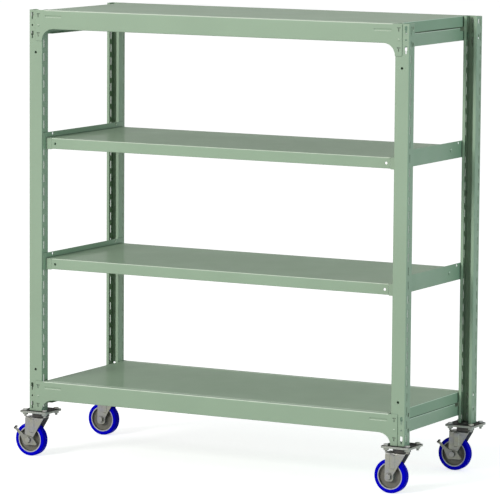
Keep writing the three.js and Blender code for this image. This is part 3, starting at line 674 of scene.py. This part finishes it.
def threaded(radius, low, high, plain):
    """Profile of a bolt's shank from low to high: plain at first, and then threaded to its tip"""
    profile = [(0, low), (radius, low), (radius, plain)]
    for i in range(int((high - plain) / thread_pitch)):
        z = plain + i * thread_pitch
        profile += [(radius - thread_depth, z + thread_pitch / 2), (radius, z + thread_pitch)]
    return [*profile, (radius - 2 * thread_depth, high), (0, high)]


def make_side_support(level, side_name):
    side = side_of[side_name]
    node = f"side_support_{level}_{side_name}"
    reach, low, high, at = rail_frame(node, side)
    half = rail_sheet / 2
    web = rail_gap + half
    section = [(web, high), (web, low + half), (support_ledge, low + half)]
    ledge = reach - support_ledge_setback
    hole_at = reach - support_hole_inset
    holes = [disc(support_hole_drop, end * hole_at, support_hole_radius) for end in (-1, 1)]
    spans = [(-reach, reach), (-ledge, ledge)]
    place = lambda point, along: at(point.x, point.y, along)
    mesh, hooks, bolts = bmesh.new(), bmesh.new(), bmesh.new()
    fold_sheet(mesh, section, spans, place, rail_bend, rail_sheet, {0: holes})
    tab_top = low + support_tab_top
    tab = [
        (web, low, 0), (support_tab_reach, low, support_tab_corner),
        (support_tab_reach, tab_top, support_tab_corner), (web, tab_top, 0),
    ]
    head_sizes = (shelf_bolt_head_radius, -rail_gap, shelf_bolt_head_height)
    nut_end = shelf_nut_face + shelf_nut_height
    for end in (-1, 1):
        seat = low + support_hook_rise
        add_rail_hook(hooks, at, end * (reach - support_hook_inset), seat, support_hook_height)
        cheek = lambda a, z, deep: at(a, z, end * (support_tab_y - deep))
        add_plate(hooks, rounded(tab), cheek, rail_sheet)
        spot = at(0, high - shelf_bolt_drop, end * (reach - shelf_bolt_inset))
        inwards = Matrix.Translation(spot) @ Matrix.Rotation(-side * pi / 2, 4, "Y")
        add_hexagon(bolts, inwards, shelf_nut_radius, shelf_nut_face, nut_end, both_ends=True)
        shank = threaded(shelf_bolt_radius, rail_gap, shelf_bolt_end, shelf_nut_face)
        add_turned(bolts, shank, inwards, steps=16)
        head = domed(*head_sizes, shelf_bolt_radius, -rail_gap - half)
        add_turned(bolts, head, inwards @ Matrix.Rotation(pi, 4, "X"), steps=24)
    add_piece(node, mesh, frame_paint, sheet=rail_sheet)
    add_piece(f"support_hooks_{level}_{side_name}", hooks, frame_paint, edge=hook_edge, extra=True)
    add_piece(f"shelf_bolts_{level}_{side_name}", bolts, frame_paint, edge=0, extra=True)


for level in ("lower", "upper"):
    for side_name in side_of:
        make_side_support(level, side_name)

# Shelf pans: 1.6 mm sheet with all four edges folded down and turned in, the corners left open. The
# two middle pans have a hole near each end of the front and rear edges and bolt holes in the sides.
# A lighter and duller green than the frame's, under a faint clear skin that sliding goods scuff.
pan_sheet = 1.6 * mm
pan_bend = 2 * mm
pan_flange = 40 * mm
pan_return = 12 * mm
pan_front_setback = 24.4 * mm
pan_side_setback = 4 * mm
pan_hole_inset = 15 * mm
pan_hole_radius = 5 * mm
pan_bolt_spacing = 336 * mm
pan_bolt_drop = 9 * mm
pan_bolt_hole_radius = 3.5 * mm
tray_green = (0.365, 0.49, 0.355)
tray_skin = {"Specular IOR Level": 0.05, "Coat Weight": 0.11, "Coat Roughness": 0.07}
tray_coat = paint_steel("tray_powder_coat", tray_green, scuffed=0.1, roughness=0.6, skin=tray_skin)
shelf_paint = (tray_coat, "shelf_paint")


def make_pan(level, bolted):
    low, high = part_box(f"shelf_{level}")
    middle = (low.x + high.x) / 2
    half = pan_sheet / 2
    wide, deep = (high.x - low.x) / 2, (high.y - low.y) / 2
    x_fold, y_fold = wide - half - pan_bend, deep - half - pan_bend
    front_end, side_end = wide - pan_front_setback, deep - pan_side_setback
    quarter = [
        (x_fold, side_end), (wide, side_end), (wide, deep), (front_end, deep), (front_end, y_fold),
    ]
    quarters = ((1, 1, 1), (-1, 1, -1), (-1, -1, 1), (1, -1, -1))
    top = [(sx * x, sy * y) for sx, sy, order in quarters for x, y in quarter[::order]]
    mesh = bmesh.new()
    add_panel(mesh, [top], lambda x, y: Vector((middle + x, y, high.z - half)))
    front = lambda side: lambda point, along: Vector((middle + along, side * point.x, high.z - point.y))
    end = lambda side: lambda point, along: Vector((middle + side * point.x, along, high.z - point.y))
    front_hole = (front_end - pan_hole_inset, pan_flange / 2, pan_hole_radius)
    bolt_hole = (pan_bolt_spacing / 2, pan_bolt_drop, pan_bolt_hole_radius)
    flanges = (
        (front, deep, front_end, front_end, front_hole),
        (end, wide, side_end, side_end - pan_return, bolt_hole),
    )
    for placed, face, reach, return_reach, (hole_at, hole_drop, hole_radius) in flanges:
        section = [
            (face - half - pan_bend, half), (face - half, half), (face - half, pan_flange - half),
            (face - pan_return, pan_flange - half),
        ]
        spans = [(-reach, reach), (-reach, reach), (-return_reach, return_reach)]
        holes = {1: [disc(hole_drop, way * hole_at, hole_radius) for way in (-1, 1)]} if bolted else None
        for side in (-1, 1):
            fold_sheet(mesh, section, spans, placed(side), pan_bend, pan_sheet, holes, skip=1)
    add_piece(f"shelf_{level}", mesh, shelf_paint, sheet=pan_sheet)


for level in ("bottom", "lower", "upper", "top"):
    make_pan(level, level in ("lower", "upper"))

# Stiffeners: under each pan, one pressed 1.2 mm sheet with two channels along the pan, spot-welded
# to its underside. Painted with the frame.
stiffener_sheet = 1.2 * mm
stiffener_bend = 1.6 * mm
channel_offset = 95 * mm
channel_half_width = 30.6 * mm
stiffener_foot = 12 * mm


def make_stiffener(level):
    low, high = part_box(f"stiffener_{level}")
    half = stiffener_sheet / 2
    near, far = channel_offset - channel_half_width, channel_offset + channel_half_width
    right = [
        (near, high.z - half), (near, low.z + half), (far, low.z + half), (far, high.z - half),
        (far + stiffener_foot - half, high.z - half),
    ]
    section = [(-y, z) for y, z in reversed(right)] + right
    spans = [(low.x, high.x)] * (len(section) - 1)
    place = lambda point, along: Vector((along, point.x, point.y))
    mesh = bmesh.new()
    fold_sheet(mesh, section, spans, place, stiffener_bend, stiffener_sheet)
    add_piece(f"stiffener_{level}", mesh, frame_paint, sheet=stiffener_sheet)


for level in ("bottom", "lower", "upper", "top"):
    make_stiffener(level)

# Foot plates: 3.2 mm steel squares welded under the posts, each bolted to its caster plate with four
# hexagon bolts. Dull zinc plate, its top side painted near-black as painted shade, and brighter bolts.
plate_corner = 8 * mm
plate_edge = 0.5 * mm
plate_gap = 0.3 * mm
foot_plate_bore = 13 * mm
foot_plate_sheet = 3.2 * mm
bolt_radius = 5 * mm
bolt_head_radius = 9.8 * mm
bolt_head_height = 6.4 * mm
bolt_nut_height = 8 * mm
bolt_hole_radius = 5.6 * mm
bolt_offset = 42 * mm
bolt_ways = ((-1, -1), (1, -1), (1, 1), (-1, 1))
bolt_places = [(x * bolt_offset, y * bolt_offset) for x, y in bolt_ways]
plate_greys = ((0.34, 0.36, 0.32), (0.35, 0.36, 0.31), (0.32, 0.35, 0.33))
# painted shade: near-black greys for the top side of each foot plate
top_shade_greys = ((0.04, 0.04, 0.036), (0.05, 0.045, 0.036), (0.036, 0.036, 0.04))
bolt_greys = ((0.55, 0.55, 0.5), (0.55, 0.54, 0.46), (0.5, 0.5, 0.51))


def plated_steel(name, greys, roughness, metallic=0.6, specular=0.5):
    """Zinc-plated steel in a middle, a warm and a cool grey, with a rolled grain, rubbed edges and
    painted shade in joints and holes
    """
    material, tree, shader, where = start_finish(name)
    colour, warm, cool = greys
    drift = patches(tree, where, scale=34, detail=3, low=0.32, high=0.68)
    spots = patches(tree, where, scale=210, detail=3, low=0.5, high=0.72)
    rubbed = worn_edges(tree, where, radius=1 * mm, share=0.06)
    tint = blend_colour(tree, drift, warm, cool)
    tint = lay_over(tree, tint, spots, 0.35, shaded(colour, 0.6))
    tint = lay_over(tree, tint, rubbed, 0.5, shaded(colour, 1.7))
    # painted shade: a much darker grey laid into joints and holes
    tint = lay_over(tree, tint, painted_recess_shade(tree, reach=8 * mm), 0.7, shaded(colour, 0.2))
    dull = patches(tree, where, scale=60, detail=4, to_low=roughness - 0.07, to_high=roughness + 0.1)
    grain = add_noise(tree, where, scale=1500, detail=2, stretch=(1, 0.25, 0.25))
    rolled = relief(tree, grain, strength=0.12, depth=0.05 * mm)
    set_inputs(tree, shader, {"Base Color": tint, "Roughness": dull, "Normal": rolled})
    set_inputs(tree, shader, {"Metallic": metallic, "Specular IOR Level": specular})
    return material


plate_steel = (plated_steel("dark_plate", plate_greys, roughness=0.42), "plate_steel")
bolt_steel = (plated_steel("bolt_zinc", bolt_greys, roughness=0.38), "plate_steel")
# painted shade finish for the foot plates' top sides
shade_dark_top = plated_steel("painted_shade_top", top_shade_greys, roughness=0.7, metallic=0, specular=0.1)


def add_drilled_plate(mesh, box, bore, plate_low, plate_high):
    """A thick square plate with a bore in its middle, and a hole for each bolt"""
    centre = (box[0] + box[1]) / 2
    width = box[1].x - box[0].x
    loops = [slot(0, 0, width, width, plate_corner), bore]
    loops += [disc(x, y, bolt_hole_radius) for x, y in bolt_places]
    at = lambda a, b, z: Vector((centre.x + a, centre.y + b, z))
    for z in (plate_low, plate_high):
        add_panel(mesh, loops, lambda x, y: at(x, y, z))
    for loop in loops:
        rims = [[mesh.verts.new(at(p[0], p[1], z)) for p in loop] for z in (plate_low, plate_high)]
        join_loops(mesh, *rims)
    return [Matrix.Translation(at(x, y, 0)) for x, y in bolt_places]


def make_foot_plate(name):
    low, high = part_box(f"foot_plate_{name}")
    top = high.z - bolt_head_height
    bore = disc(0, 0, foot_plate_bore, steps=32)
    mesh, bolts = bmesh.new(), bmesh.new()
    spots = add_drilled_plate(mesh, (low, high), bore, top - foot_plate_sheet, top)
    # the top faces take the second material, the near-black painted shade
    for face in mesh.faces:
        face.material_index = all(corner.co.z > top - plate_gap for corner in face.verts)
    for spot in spots:
        add_hexagon(bolts, spot, bolt_head_radius, top, high.z)
        shank = threaded(bolt_radius, -top, -low.z, -top + 2 * bolt_nut_height)
        add_turned(bolts, shank, spot @ Matrix.Rotation(pi, 4, "X"), steps=20)
    piece = add_piece(f"foot_plate_{name}", mesh, plate_steel, edge=plate_edge)
    piece.data.materials.append(shade_dark_top)
    add_piece(f"bolts_{name}", bolts, bolt_steel, edge=0, extra=True)


for name in corners:
    make_foot_plate(name)

# Caster plates and swivel heads: a 4 mm plate with the upper ball race pressed to it and four nuts
# under it, a kingpin with its nut, and a caged ring of balls below the race. Zinc-plated steel, the
# plates dark with age.
caster_plate_sheet = 4 * mm
race_inner = 17 * mm
race_outer = 29 * mm
race_height = 7 * mm
race_lip = 2 * mm
kingpin_radius = 6 * mm
kingpin_bore = 6.5 * mm
kingpin_head_height = 2.2 * mm
kingpin_nut_height = 7.5 * mm
ball_radius = 2.5 * mm
ball_circle = 23 * mm
ball_count = 20
cage_half_width = 1.5 * mm
cage_half_height = 0.6 * mm
zinc_greys = ((0.3, 0.3, 0.27), (0.3, 0.3, 0.24), (0.27, 0.27, 0.29))
zinc_steel = (plated_steel("zinc_plate", zinc_greys, roughness=0.38), "zinc_steel")


def add_ring(mesh, place, inner, outer, low, high, steps):
    add_turned(mesh, [(inner, low), (outer, low), (outer, high), (inner, high)], place, steps)


def make_swivel_head(name):
    low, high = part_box(f"caster_plate_{name}")
    centre = (low + high) / 2
    axis = Matrix.Translation((centre.x, centre.y, 0))
    plate_low = high.z - caster_plate_sheet
    bore = disc(0, 0, kingpin_bore, steps=24)
    plate, race, pin, cage = [bmesh.new() for _ in range(4)]
    spots = add_drilled_plate(plate, (low, high), bore, plate_low, high.z)
    add_piece(f"caster_plate_{name}", plate, plate_steel, edge=plate_edge)
    race_low = plate_low - race_height
    profile = [
        (race_inner, race_low), (race_outer - race_lip, race_low), (race_outer, race_low + race_lip),
        (race_outer, plate_low), (race_inner, plate_low),
    ]
    add_turned(race, profile, axis, steps=48)
    for spot in spots:
        add_hexagon(race, spot, bolt_head_radius, low.z, plate_low - plate_gap, both_ends=True)
    add_piece(f"race_and_nuts_{name}", race, plate_steel, edge=0, extra=True)
    pin_low, pin_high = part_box(f"kingpin_{name}")
    head_radius = (pin_high.x - pin_low.x) / 2
    neck = pin_high.z - kingpin_head_height
    add_turned(pin, domed(head_radius, neck, pin_high.z, kingpin_radius, pin_low.z), axis)
    add_hexagon(pin, axis, head_radius, pin_low.z, pin_low.z + kingpin_nut_height, both_ends=True)
    add_piece(f"kingpin_{name}", pin, zinc_steel, edge=0)
    balls_low, balls_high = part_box(f"ball_cage_{name}")
    level = (balls_low.z + balls_high.z) / 2
    inner, outer = ball_circle - cage_half_width, ball_circle + cage_half_width
    add_ring(cage, axis, inner, outer, level - cage_half_height, level + cage_half_height, steps=48)
    for i in range(ball_count):
        turn = 2 * pi * (i + 0.5) / ball_count
        ball = Vector((centre.x + ball_circle * cos(turn), centre.y + ball_circle * sin(turn), level))
        moved = Matrix.Translation(ball)
        bmesh.ops.create_icosphere(cage, subdivisions=3, radius=ball_radius, matrix=moved)
    add_piece(f"ball_cage_{name}", cage, zinc_steel, f"swivel_{name}", edge=0)


for name in corners:
    make_swivel_head(name)

# Forks: 3 mm sheet folded down at both sides of a crown, each leg pressed with a stiffening rib and
# trailing back to the axle. The lower race, painted near-black as painted shade, sits in a turned
# cup on the crown. Bright zinc plate.
fork_sheet = 3 * mm
fork_bend = 5 * mm
fork_half_width = 23 * mm
fork_crown_top = 150 * mm
fork_foot = 44.5 * mm
fork_foot_corner = 11 * mm
fork_foot_taper = 1 * mm
fork_back = 15 * mm
fork_back_eye = 17.5 * mm
fork_front = 22 * mm
fork_front_eye = 17.5 * mm
fork_waist = 70 * mm
fork_waist_corner = 6 * mm
wheel_radius = 62.5 * mm
wheel_trail = 40 * mm
rib_low = 91 * mm
rib_high = 143 * mm
rib_back = -37 * mm
rib_front = -15 * mm
rib_slope = 2.2 * mm
rib_height = 2 * mm
rib_corner = 6 * mm
cup_radius = 32.5 * mm
cup_wall = 2.5 * mm
cup_low = 150.3 * mm
cup_floor = 157.4 * mm
cup_top = 166 * mm
cup_corner = 3 * mm
axle_radius = 6 * mm
axle_hole_radius = 6.4 * mm
# painted shade: near-black greys for the lower race
race_shade_greys = ((0.05, 0.05, 0.045), (0.06, 0.055, 0.045), (0.045, 0.045, 0.05))
race_shade_steel = (plated_steel("dark_race", race_shade_greys, roughness=0.42), "zinc_steel")


def make_fork(name):
    low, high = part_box(f"kingpin_{name}")
    centre = (low + high) / 2
    half = fork_sheet / 2
    side = fork_half_width - half
    crown = fork_crown_top - half
    section = [(-side, fork_foot), (-side, crown), (side, crown), (side, fork_foot)]
    place = lambda point, along: Vector((centre.x + along, centre.y + point.x, point.y))
    leg_top = crown - fork_bend - fork_foot
    leg = [
        (leg_top, -wheel_trail - fork_back, 0), (0, -wheel_trail - fork_back_eye, fork_foot_corner),
        (0, -wheel_trail + fork_front_eye - fork_foot_taper, fork_foot_corner),
        (fork_waist - fork_foot, -wheel_trail + fork_front_eye, fork_waist_corner),
        (leg_top, fork_front, 0),
    ]
    eye = disc(wheel_radius - fork_foot, -wheel_trail, axle_hole_radius, steps=24)
    rib = ((rib_low + rib_high) / 2 - fork_foot, (rib_back + rib_front) / 2)
    rib_length, rib_width = rib_high - rib_low, rib_front - rib_back
    outer = slot(*rib, rib_length, rib_width, rib_corner)
    inner = slot(*rib, rib_length - 2 * rib_slope, rib_width - 2 * rib_slope, rib_corner - rib_slope)
    turned_over = lambda points: [(leg_top + fork_bend - p[0], *p[1:]) for p in points]
    mesh, cup = bmesh.new(), bmesh.new()
    for way in (-1, 1):
        on_leg, raised = [
            lambda up, along, y=centre.y + way * out: Vector((centre.x + along, y, fork_foot + up))
            for out in (side, side + rib_height)
        ]
        add_emboss(mesh, outer, inner, on_leg, raised)
    outlines = {0: rounded(leg, 5), 2: rounded(turned_over(leg), 5)}
    crown_hole = disc(side, 0, kingpin_bore, steps=24)
    far_holes = [[Vector(point) for point in turned_over(loop)] for loop in (eye, outer)]
    holes = {0: [eye, outer], 1: [crown_hole], 2: far_holes}
    spans = [(-wheel_trail - fork_back, fork_front)] * 3
    fold_sheet(mesh, section, spans, place, fork_bend, fork_sheet, holes, outlines)
    body = f"swivel_{name}"
    add_piece(f"fork_{name}", mesh, zinc_steel, body, sheet=fork_sheet, edge=plate_edge)
    profile = [
        (kingpin_bore, cup_low), (cup_radius - cup_corner, cup_low), (cup_radius, cup_low + cup_corner),
        (cup_radius, cup_top), (cup_radius - cup_wall, cup_top), (cup_radius - cup_wall, cup_floor),
        (kingpin_bore, cup_floor),
    ]
    add_turned(cup, profile, Matrix.Translation((centre.x, centre.y, 0)), steps=64)
    # the lower race is painted near-black as painted shade
    add_piece(f"lower_race_{name}", cup, race_shade_steel, body, edge=plate_edge, extra=True)


for name in corners:
    make_fork(name)

# Axles: a hexagon bolt through both legs, with its nut, a sleeve that the hub turns on and, where
# there is no brake, a washer under the head. Zinc-plated steel.
axle_head_radius = 11 * mm
axle_head_height = 7 * mm
axle_head_face = 26.1 * mm
axle_nut_height = 8 * mm
axle_nut_face = 23.3 * mm
axle_tip = 34.3 * mm
axle_washer_radius = 13 * mm
axle_washer_sheet = 2.5 * mm
sleeve_radius = 8 * mm
sleeve_half = 19.7 * mm
braked = ("front_left", "rear_right")


def wheel_place(name):
    """The middle of a wheel, with its axle as the upright axis of a turned piece"""
    low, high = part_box(f"hub_{name}")
    return Matrix.Translation((low + high) / 2) @ Matrix.Rotation(pi / 2, 4, "X")


def make_axle(name):
    place = wheel_place(name)
    back = place @ Matrix.Rotation(pi, 4, "X")
    nut_end = axle_nut_face + axle_nut_height
    mesh = bmesh.new()
    add_hexagon(mesh, place, axle_head_radius, axle_head_face, axle_head_face + axle_head_height)
    add_hexagon(mesh, back, axle_head_radius, axle_nut_face, nut_end, both_ends=True)
    add_turned(mesh, threaded(axle_radius, -axle_head_face, axle_tip, axle_nut_face), back, steps=24)
    add_ring(mesh, place, axle_radius, sleeve_radius, -sleeve_half, sleeve_half, steps=24)
    if name not in braked:
        near, far = axle_head_face - axle_washer_sheet - plate_gap, axle_head_face - plate_gap
        add_ring(mesh, place, axle_radius, axle_washer_radius, near, far, steps=32)
    add_piece(f"axle_{name}", mesh, zinc_steel, f"swivel_{name}", edge=0)


for name in corners:
    make_axle(name)

# Wheels: a dished hub of moulded grey nylon with a raised rim whose outer faces are pale as a
# painted highlight, and a blue elastic tyre bonded round it, its tread flat in the middle and
# rounded into the side walls.
hub_bore = 8.5 * mm
hub_boss = 18 * mm
hub_boss_half = 19 * mm
hub_boss_corner = 1.5 * mm
hub_boss_draft = 1.5 * mm
hub_boss_foot = 4 * mm
hub_boss_root = 2 * mm
hub_web_half = 3 * mm
hub_web_corner = 3 * mm
hub_cone = 27 * mm
hub_edge_corner = 0.6 * mm
hub_rim_inner = 45 * mm
hub_rim_outer = 48.7 * mm
hub_rim_half = 15 * mm
hub_rim_draft = 1 * mm
hub_rim_corner = 1 * mm
# depth from the rim's outer face that takes the pale painted highlight
rim_highlight_depth = 1.5 * mm
tyre_inner = 49 * mm
tyre_half_width = 16 * mm
tyre_bead = 5 * mm
tyre_bead_draft = 1 * mm
tyre_bead_corner = 0.5 * mm
tyre_wall_corner = 2 * mm
tyre_crown = 62.4 * mm
tyre_crown_rise = 0.1 * mm
tyre_shoulder = 5 * mm
hub_grey = (0.15, 0.145, 0.12)
rim_grey = (0.55, 0.54, 0.6)
tyre_blue = (0.001, 0.0005, 0.64)
dust_blue = (0.12, 0.12, 0.3)


def moulded_nylon(name, colour):
    """Nylon with moulding marks, pale where an edge is rubbed"""
    material, tree, shader, where = start_finish(name)
    mottle = patches(tree, where, scale=90, detail=4)
    tone = blend_colour(tree, mottle, shaded(colour, 0.85), shaded(colour, 1.15))
    tone = blend_colour(tree, worn_edges(tree, where, radius=2.2 * mm, share=0.3), tone, rim_grey)
    rough = patches(tree, where, scale=200, detail=3, to_low=0.42, to_high=0.58)
    grain = add_noise(tree, where, scale=1100, detail=3)
    skin = relief(tree, grain, strength=0.2, depth=0.1 * mm)
    set_inputs(tree, shader, {"Base Color": tone, "Roughness": rough, "Normal": skin})
    return material


def elastic_tyre(name):
    """Deep blue elastic tyre: smooth, slightly dusty, with fine scores round the tread"""
    material, tree, shader, where = start_finish(name)
    dust = patches(tree, where, scale=40, detail=5, low=0.55, high=0.8)
    tone = lay_over(tree, tyre_blue, dust, 0.02, dust_blue)
    rough = patches(tree, where, scale=120, detail=4, to_low=0.42, to_high=0.6)
    scores = add_noise(tree, where, scale=300, detail=3, stretch=(1, 3, 1))
    skin = relief(tree, scores, strength=0.25, depth=0.15 * mm)
    set_inputs(tree, shader, {"Base Color": tone, "Roughness": rough, "Normal": skin})
    set_inputs(tree, shader, {"Specular IOR Level": 0.02})
    return material


hub_nylon = (moulded_nylon("hub_nylon", hub_grey), "hub_nylon")
# painted highlight: the pale finish of the rim's outer faces
rim_highlight_nylon = moulded_nylon("rim_highlight_nylon", rim_grey)
tyre_rubber = (elastic_tyre("tyre_elastic"), "tyre_blue")
half_hub = [
    (hub_bore, hub_boss_half, hub_edge_corner), (hub_boss, hub_boss_half, hub_boss_corner),
    (hub_boss + hub_boss_draft, hub_web_half + hub_boss_foot, hub_boss_root),
    (hub_cone, hub_web_half, hub_web_corner),
    (hub_rim_inner - hub_rim_draft, hub_web_half, hub_web_corner),
    (hub_rim_inner, hub_rim_half, hub_rim_corner), (hub_rim_outer, hub_rim_half, hub_edge_corner),
]
half_tyre = [
    (tyre_inner, tyre_half_width - tyre_bead_draft, tyre_bead_corner),
    (tyre_inner + tyre_bead, tyre_half_width, tyre_wall_corner),
    (tyre_crown, tyre_half_width, tyre_shoulder), (tyre_crown + tyre_crown_rise, 0, 0),
]


def both_sides(half_profile):
    other = [(r, -h, radius) for r, h, radius in reversed(half_profile) if h]
    return rounded(half_profile + other, 4)


def make_wheel(name):
    place = wheel_place(name)
    hub, tyre = bmesh.new(), bmesh.new()
    add_turned(hub, both_sides(half_hub), place, steps=72)
    add_turned(tyre, both_sides(half_tyre), place, steps=96)
    to_wheel = place.inverted()
    # the rim's outer faces take the pale second material, a painted highlight
    for face in hub.faces:
        spot = to_wheel @ face.calc_center_median()
        in_rim = hypot(spot.x, spot.y) > hub_rim_inner - hub_rim_draft
        face.material_index = in_rim and abs(spot.z) > hub_rim_half - rim_highlight_depth
    piece = add_piece(f"hub_{name}", hub, hub_nylon, f"wheel_{name}", edge=0)
    piece.data.materials.append(rim_highlight_nylon)
    add_piece(f"tyre_{name}", tyre, tyre_rubber, f"wheel_{name}", edge=0)


for name in corners:
    make_wheel(name)

# Brake levers, on the front left and the rear right casters: a 2.5 mm plate that turns on the axle
# outside the fork, with an arm up to the tyre, bent over the tread as a toe bar with a rubber pad.
# Dull zinc plate and black rubber.
lever_sheet = 2.5 * mm
lever_face = 24.55 * mm
lever_bend = 2.5 * mm
lever_reach = 55 * mm
lever_rise = 40 * mm
lever_arm_half = 4.5 * mm
lever_neck = 3 * mm
lever_neck_corner = 2 * mm
lever_bar_out = 70.6 * mm
lever_bar_half = 6.5 * mm
lever_bar_end = -13.8 * mm
lever_back = (-34 * mm, 13 * mm, 8 * mm)
lever_heel = (-18 * mm, -20 * mm, 6 * mm)
lever_toe = (40 * mm, -18 * mm, 4 * mm)
lever_crest = (17 * mm, 11 * mm, 8 * mm)
lever_shoulder = (-18 * mm, 18 * mm, 10 * mm)
pad_low = 72.3 * mm
pad_high = 75.2 * mm
pad_half = 6.2 * mm
pad_start = 25.8 * mm
pad_edge = 0.3 * mm
pad_groove_pitch = 3.4 * mm
pad_groove_width = 1.7 * mm
pad_groove_depth = 1 * mm
pad_groove_slope = 0.5 * mm
lever_greys = ((0.24, 0.24, 0.2), (0.25, 0.25, 0.2), (0.22, 0.22, 0.22))
pad_black = (0.012, 0.012, 0.012)
pad_dust = (0.08, 0.08, 0.075)


def ribbed_rubber(name):
    """Black rubber, dusty and slightly rough"""
    material, tree, shader, where = start_finish(name)
    dust = patches(tree, where, scale=160, detail=4, low=0.45, high=0.75)
    tone = lay_over(tree, pad_black, dust, 0.3, pad_dust)
    grain = add_noise(tree, where, scale=900, detail=3)
    skin = relief(tree, grain, strength=0.3, depth=0.1 * mm)
    set_inputs(tree, shader, {"Base Color": tone, "Roughness": 0.75, "Normal": skin})
    return material


lever_steel = (plated_steel("lever_zinc", lever_greys, roughness=0.42), "zinc_steel")
pad_rubber = (ribbed_rubber("pad_rubber"), "pad_rubber")


def make_brake_lever(name):
    low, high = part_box(f"hub_{name}")
    axle = (low + high) / 2
    along = Vector((-lever_reach, lever_rise)).normalized()
    across = Vector((-along.y, along.x))
    to_lever = lambda p: (Vector(p[:2]).dot(along), Vector(p[:2]).dot(across), p[2])

    def place(point, sideways):
        flat = along * point.x + across * sideways
        return Vector((axle.x + flat.x, axle.y + point.y, axle.z + flat.y))

    section = [(0, -lever_face), (lever_bar_out, -lever_face), (lever_bar_out, lever_bar_end)]
    spans = [(-lever_bar_half, lever_bar_half)] * 2
    fold = lever_bar_out - lever_bend
    neck = fold - lever_neck
    plate = [
        (fold, lever_bar_half, 0), (neck, lever_arm_half, lever_neck_corner),
        *map(to_lever, (lever_back, lever_heel, lever_toe, lever_crest, lever_shoulder)),
        (neck, -lever_arm_half, lever_neck_corner), (fold, -lever_bar_half, 0),
    ]
    holes = {0: [disc(0, 0, axle_hole_radius, steps=24)]}
    outlines = {0: rounded(plate, 5)}
    mesh, pad = bmesh.new(), bmesh.new()
    fold_sheet(mesh, section, spans, place, lever_bend, lever_sheet, holes, outlines)
    body = f"lever_{name}"
    add_piece(f"brake_lever_{name}", mesh, lever_steel, body, sheet=lever_sheet, edge=plate_edge)
    outline = [(pad_low, -pad_start), (pad_high, -pad_start)]
    floor = pad_high - pad_groove_depth
    start = -pad_start + pad_groove_pitch
    while start + pad_groove_pitch < lever_bar_end:
        end = start + pad_groove_width
        outline += [(pad_high, start), (floor, start + pad_groove_slope)]
        outline += [(floor, end - pad_groove_slope), (pad_high, end)]
        start += pad_groove_pitch
    outline += [(pad_high, lever_bar_end), (pad_low, lever_bar_end)]
    block = lambda out, y, deep: place(Vector((out, y)), deep - pad_half)
    add_plate(pad, outline, block, 2 * pad_half)
    add_piece(f"lever_pad_{name}", pad, pad_rubber, body, edge=pad_edge)


for name in braked:
    make_brake_lever(name)

# Studio: a pale floor that keeps the soft shadows, large soft lamps and a white surround, and the
# camera low at the rack's front right, far off with a long lens.
view_azimuth = radians(28.211)
view_elevation = radians(6.912)
view_roll = radians(0.4185)
view_distance = 13.638
view_limit = 100
view_aim = Vector((0.0233, 0, 0.8))
view_offset_right = -0.00933
view_offset_up = 0.0002
camera_lens = 265.49
camera_sensor = 36
floor_half = 30
floor_grey = (0.7, 0.7, 0.7)
floor_white = (0.97, 0.97, 0.97)
floor_glow = 0.66
floor_roughness = 0.9
surround_light = 0.38
pure_white = (1, 1, 1, 1)

level_out = cos(view_elevation)
back = Vector((
    sin(view_azimuth) * level_out, -cos(view_azimuth) * level_out, sin(view_elevation)))
level_right = (-back).cross(Vector((0, 0, 1))).normalized()
level_up = level_right.cross(-back)
right = level_right * cos(view_roll) + level_up * sin(view_roll)
up = level_up * cos(view_roll) - level_right * sin(view_roll)
stand = view_aim + back * view_distance + right * view_offset_right + up * view_offset_up
camera_data = bpy.data.cameras.new("camera")
camera_data.lens = camera_lens
camera_data.sensor_width = camera_sensor
camera_data.clip_end = view_limit
camera = bpy.data.objects.new("camera", camera_data)
camera.matrix_world = Matrix.Translation(stand) @ Matrix((right, up, back)).transposed().to_4x4()
scene = bpy.context.scene
scene.collection.objects.link(camera)
scene.camera = camera
scene.view_settings.view_transform = "Standard"

floor_mesh = bmesh.new()
bmesh.ops.create_grid(floor_mesh, x_segments=1, y_segments=1, size=floor_half)
floor_data = bpy.data.meshes.new("floor")
floor_mesh.to_mesh(floor_data)
floor_mesh.free()
floor = bpy.data.objects.new("floor", floor_data)
scene.collection.objects.link(floor)


def seen_directly(tree):
    """1 for a ray from the camera, a reflection or a see-through surface, and 0 for other light"""
    path = add_node(tree, "ShaderNodeLightPath")
    seen = path.outputs["Is Camera Ray"]
    for ray in ("Is Glossy Ray", "Is Transmission Ray"):
        seen = work_out(tree, "MAXIMUM", seen, path.outputs[ray])
    return seen


floor_finish, floor_tree, floor_shader, _ = start_finish("pale_floor")
floor_seen = seen_directly(floor_tree)
set_inputs(floor_tree, floor_shader, {
    "Base Color": blend_colour(floor_tree, floor_seen, floor_grey, floor_white),
    "Emission Strength": work_out(floor_tree, "MULTIPLY", floor_seen, floor_glow),
    "Emission Color": pure_white,
    "Specular IOR Level": 0,
    "Roughness": floor_roughness,
})
floor_data.materials.append(floor_finish)

world = bpy.data.worlds.new("surround")
scene.world = world
world.use_nodes = True
sky = world.node_tree
strength = ramp(sky, seen_directly(sky), low=0, high=1, to_low=surround_light, to_high=1)
set_inputs(sky, sky.nodes["Background"], {"Strength": strength, "Color": pure_white})


def add_lamp(name, place, aim, size, power, colour):
    data = bpy.data.lights.new(name, "AREA")
    data.size = size
    data.energy = power
    data.color = colour
    lamp = bpy.data.objects.new(name, data)
    turn = (Vector(place) - Vector(aim)).to_track_quat("Z", "Y").to_matrix().to_4x4()
    lamp.matrix_world = Matrix.Translation(place) @ turn
    scene.collection.objects.link(lamp)


add_lamp("key", place=(-3.2, -11.5, 5.2), aim=(0, 0, 0.7), size=4.0, power=790, colour=(1, 0.985, 0.96))
add_lamp("fill", place=(8, -2, 1.8), aim=(0, 0, 0.8), size=3.0, power=90, colour=(0.4, 1, 0.98))
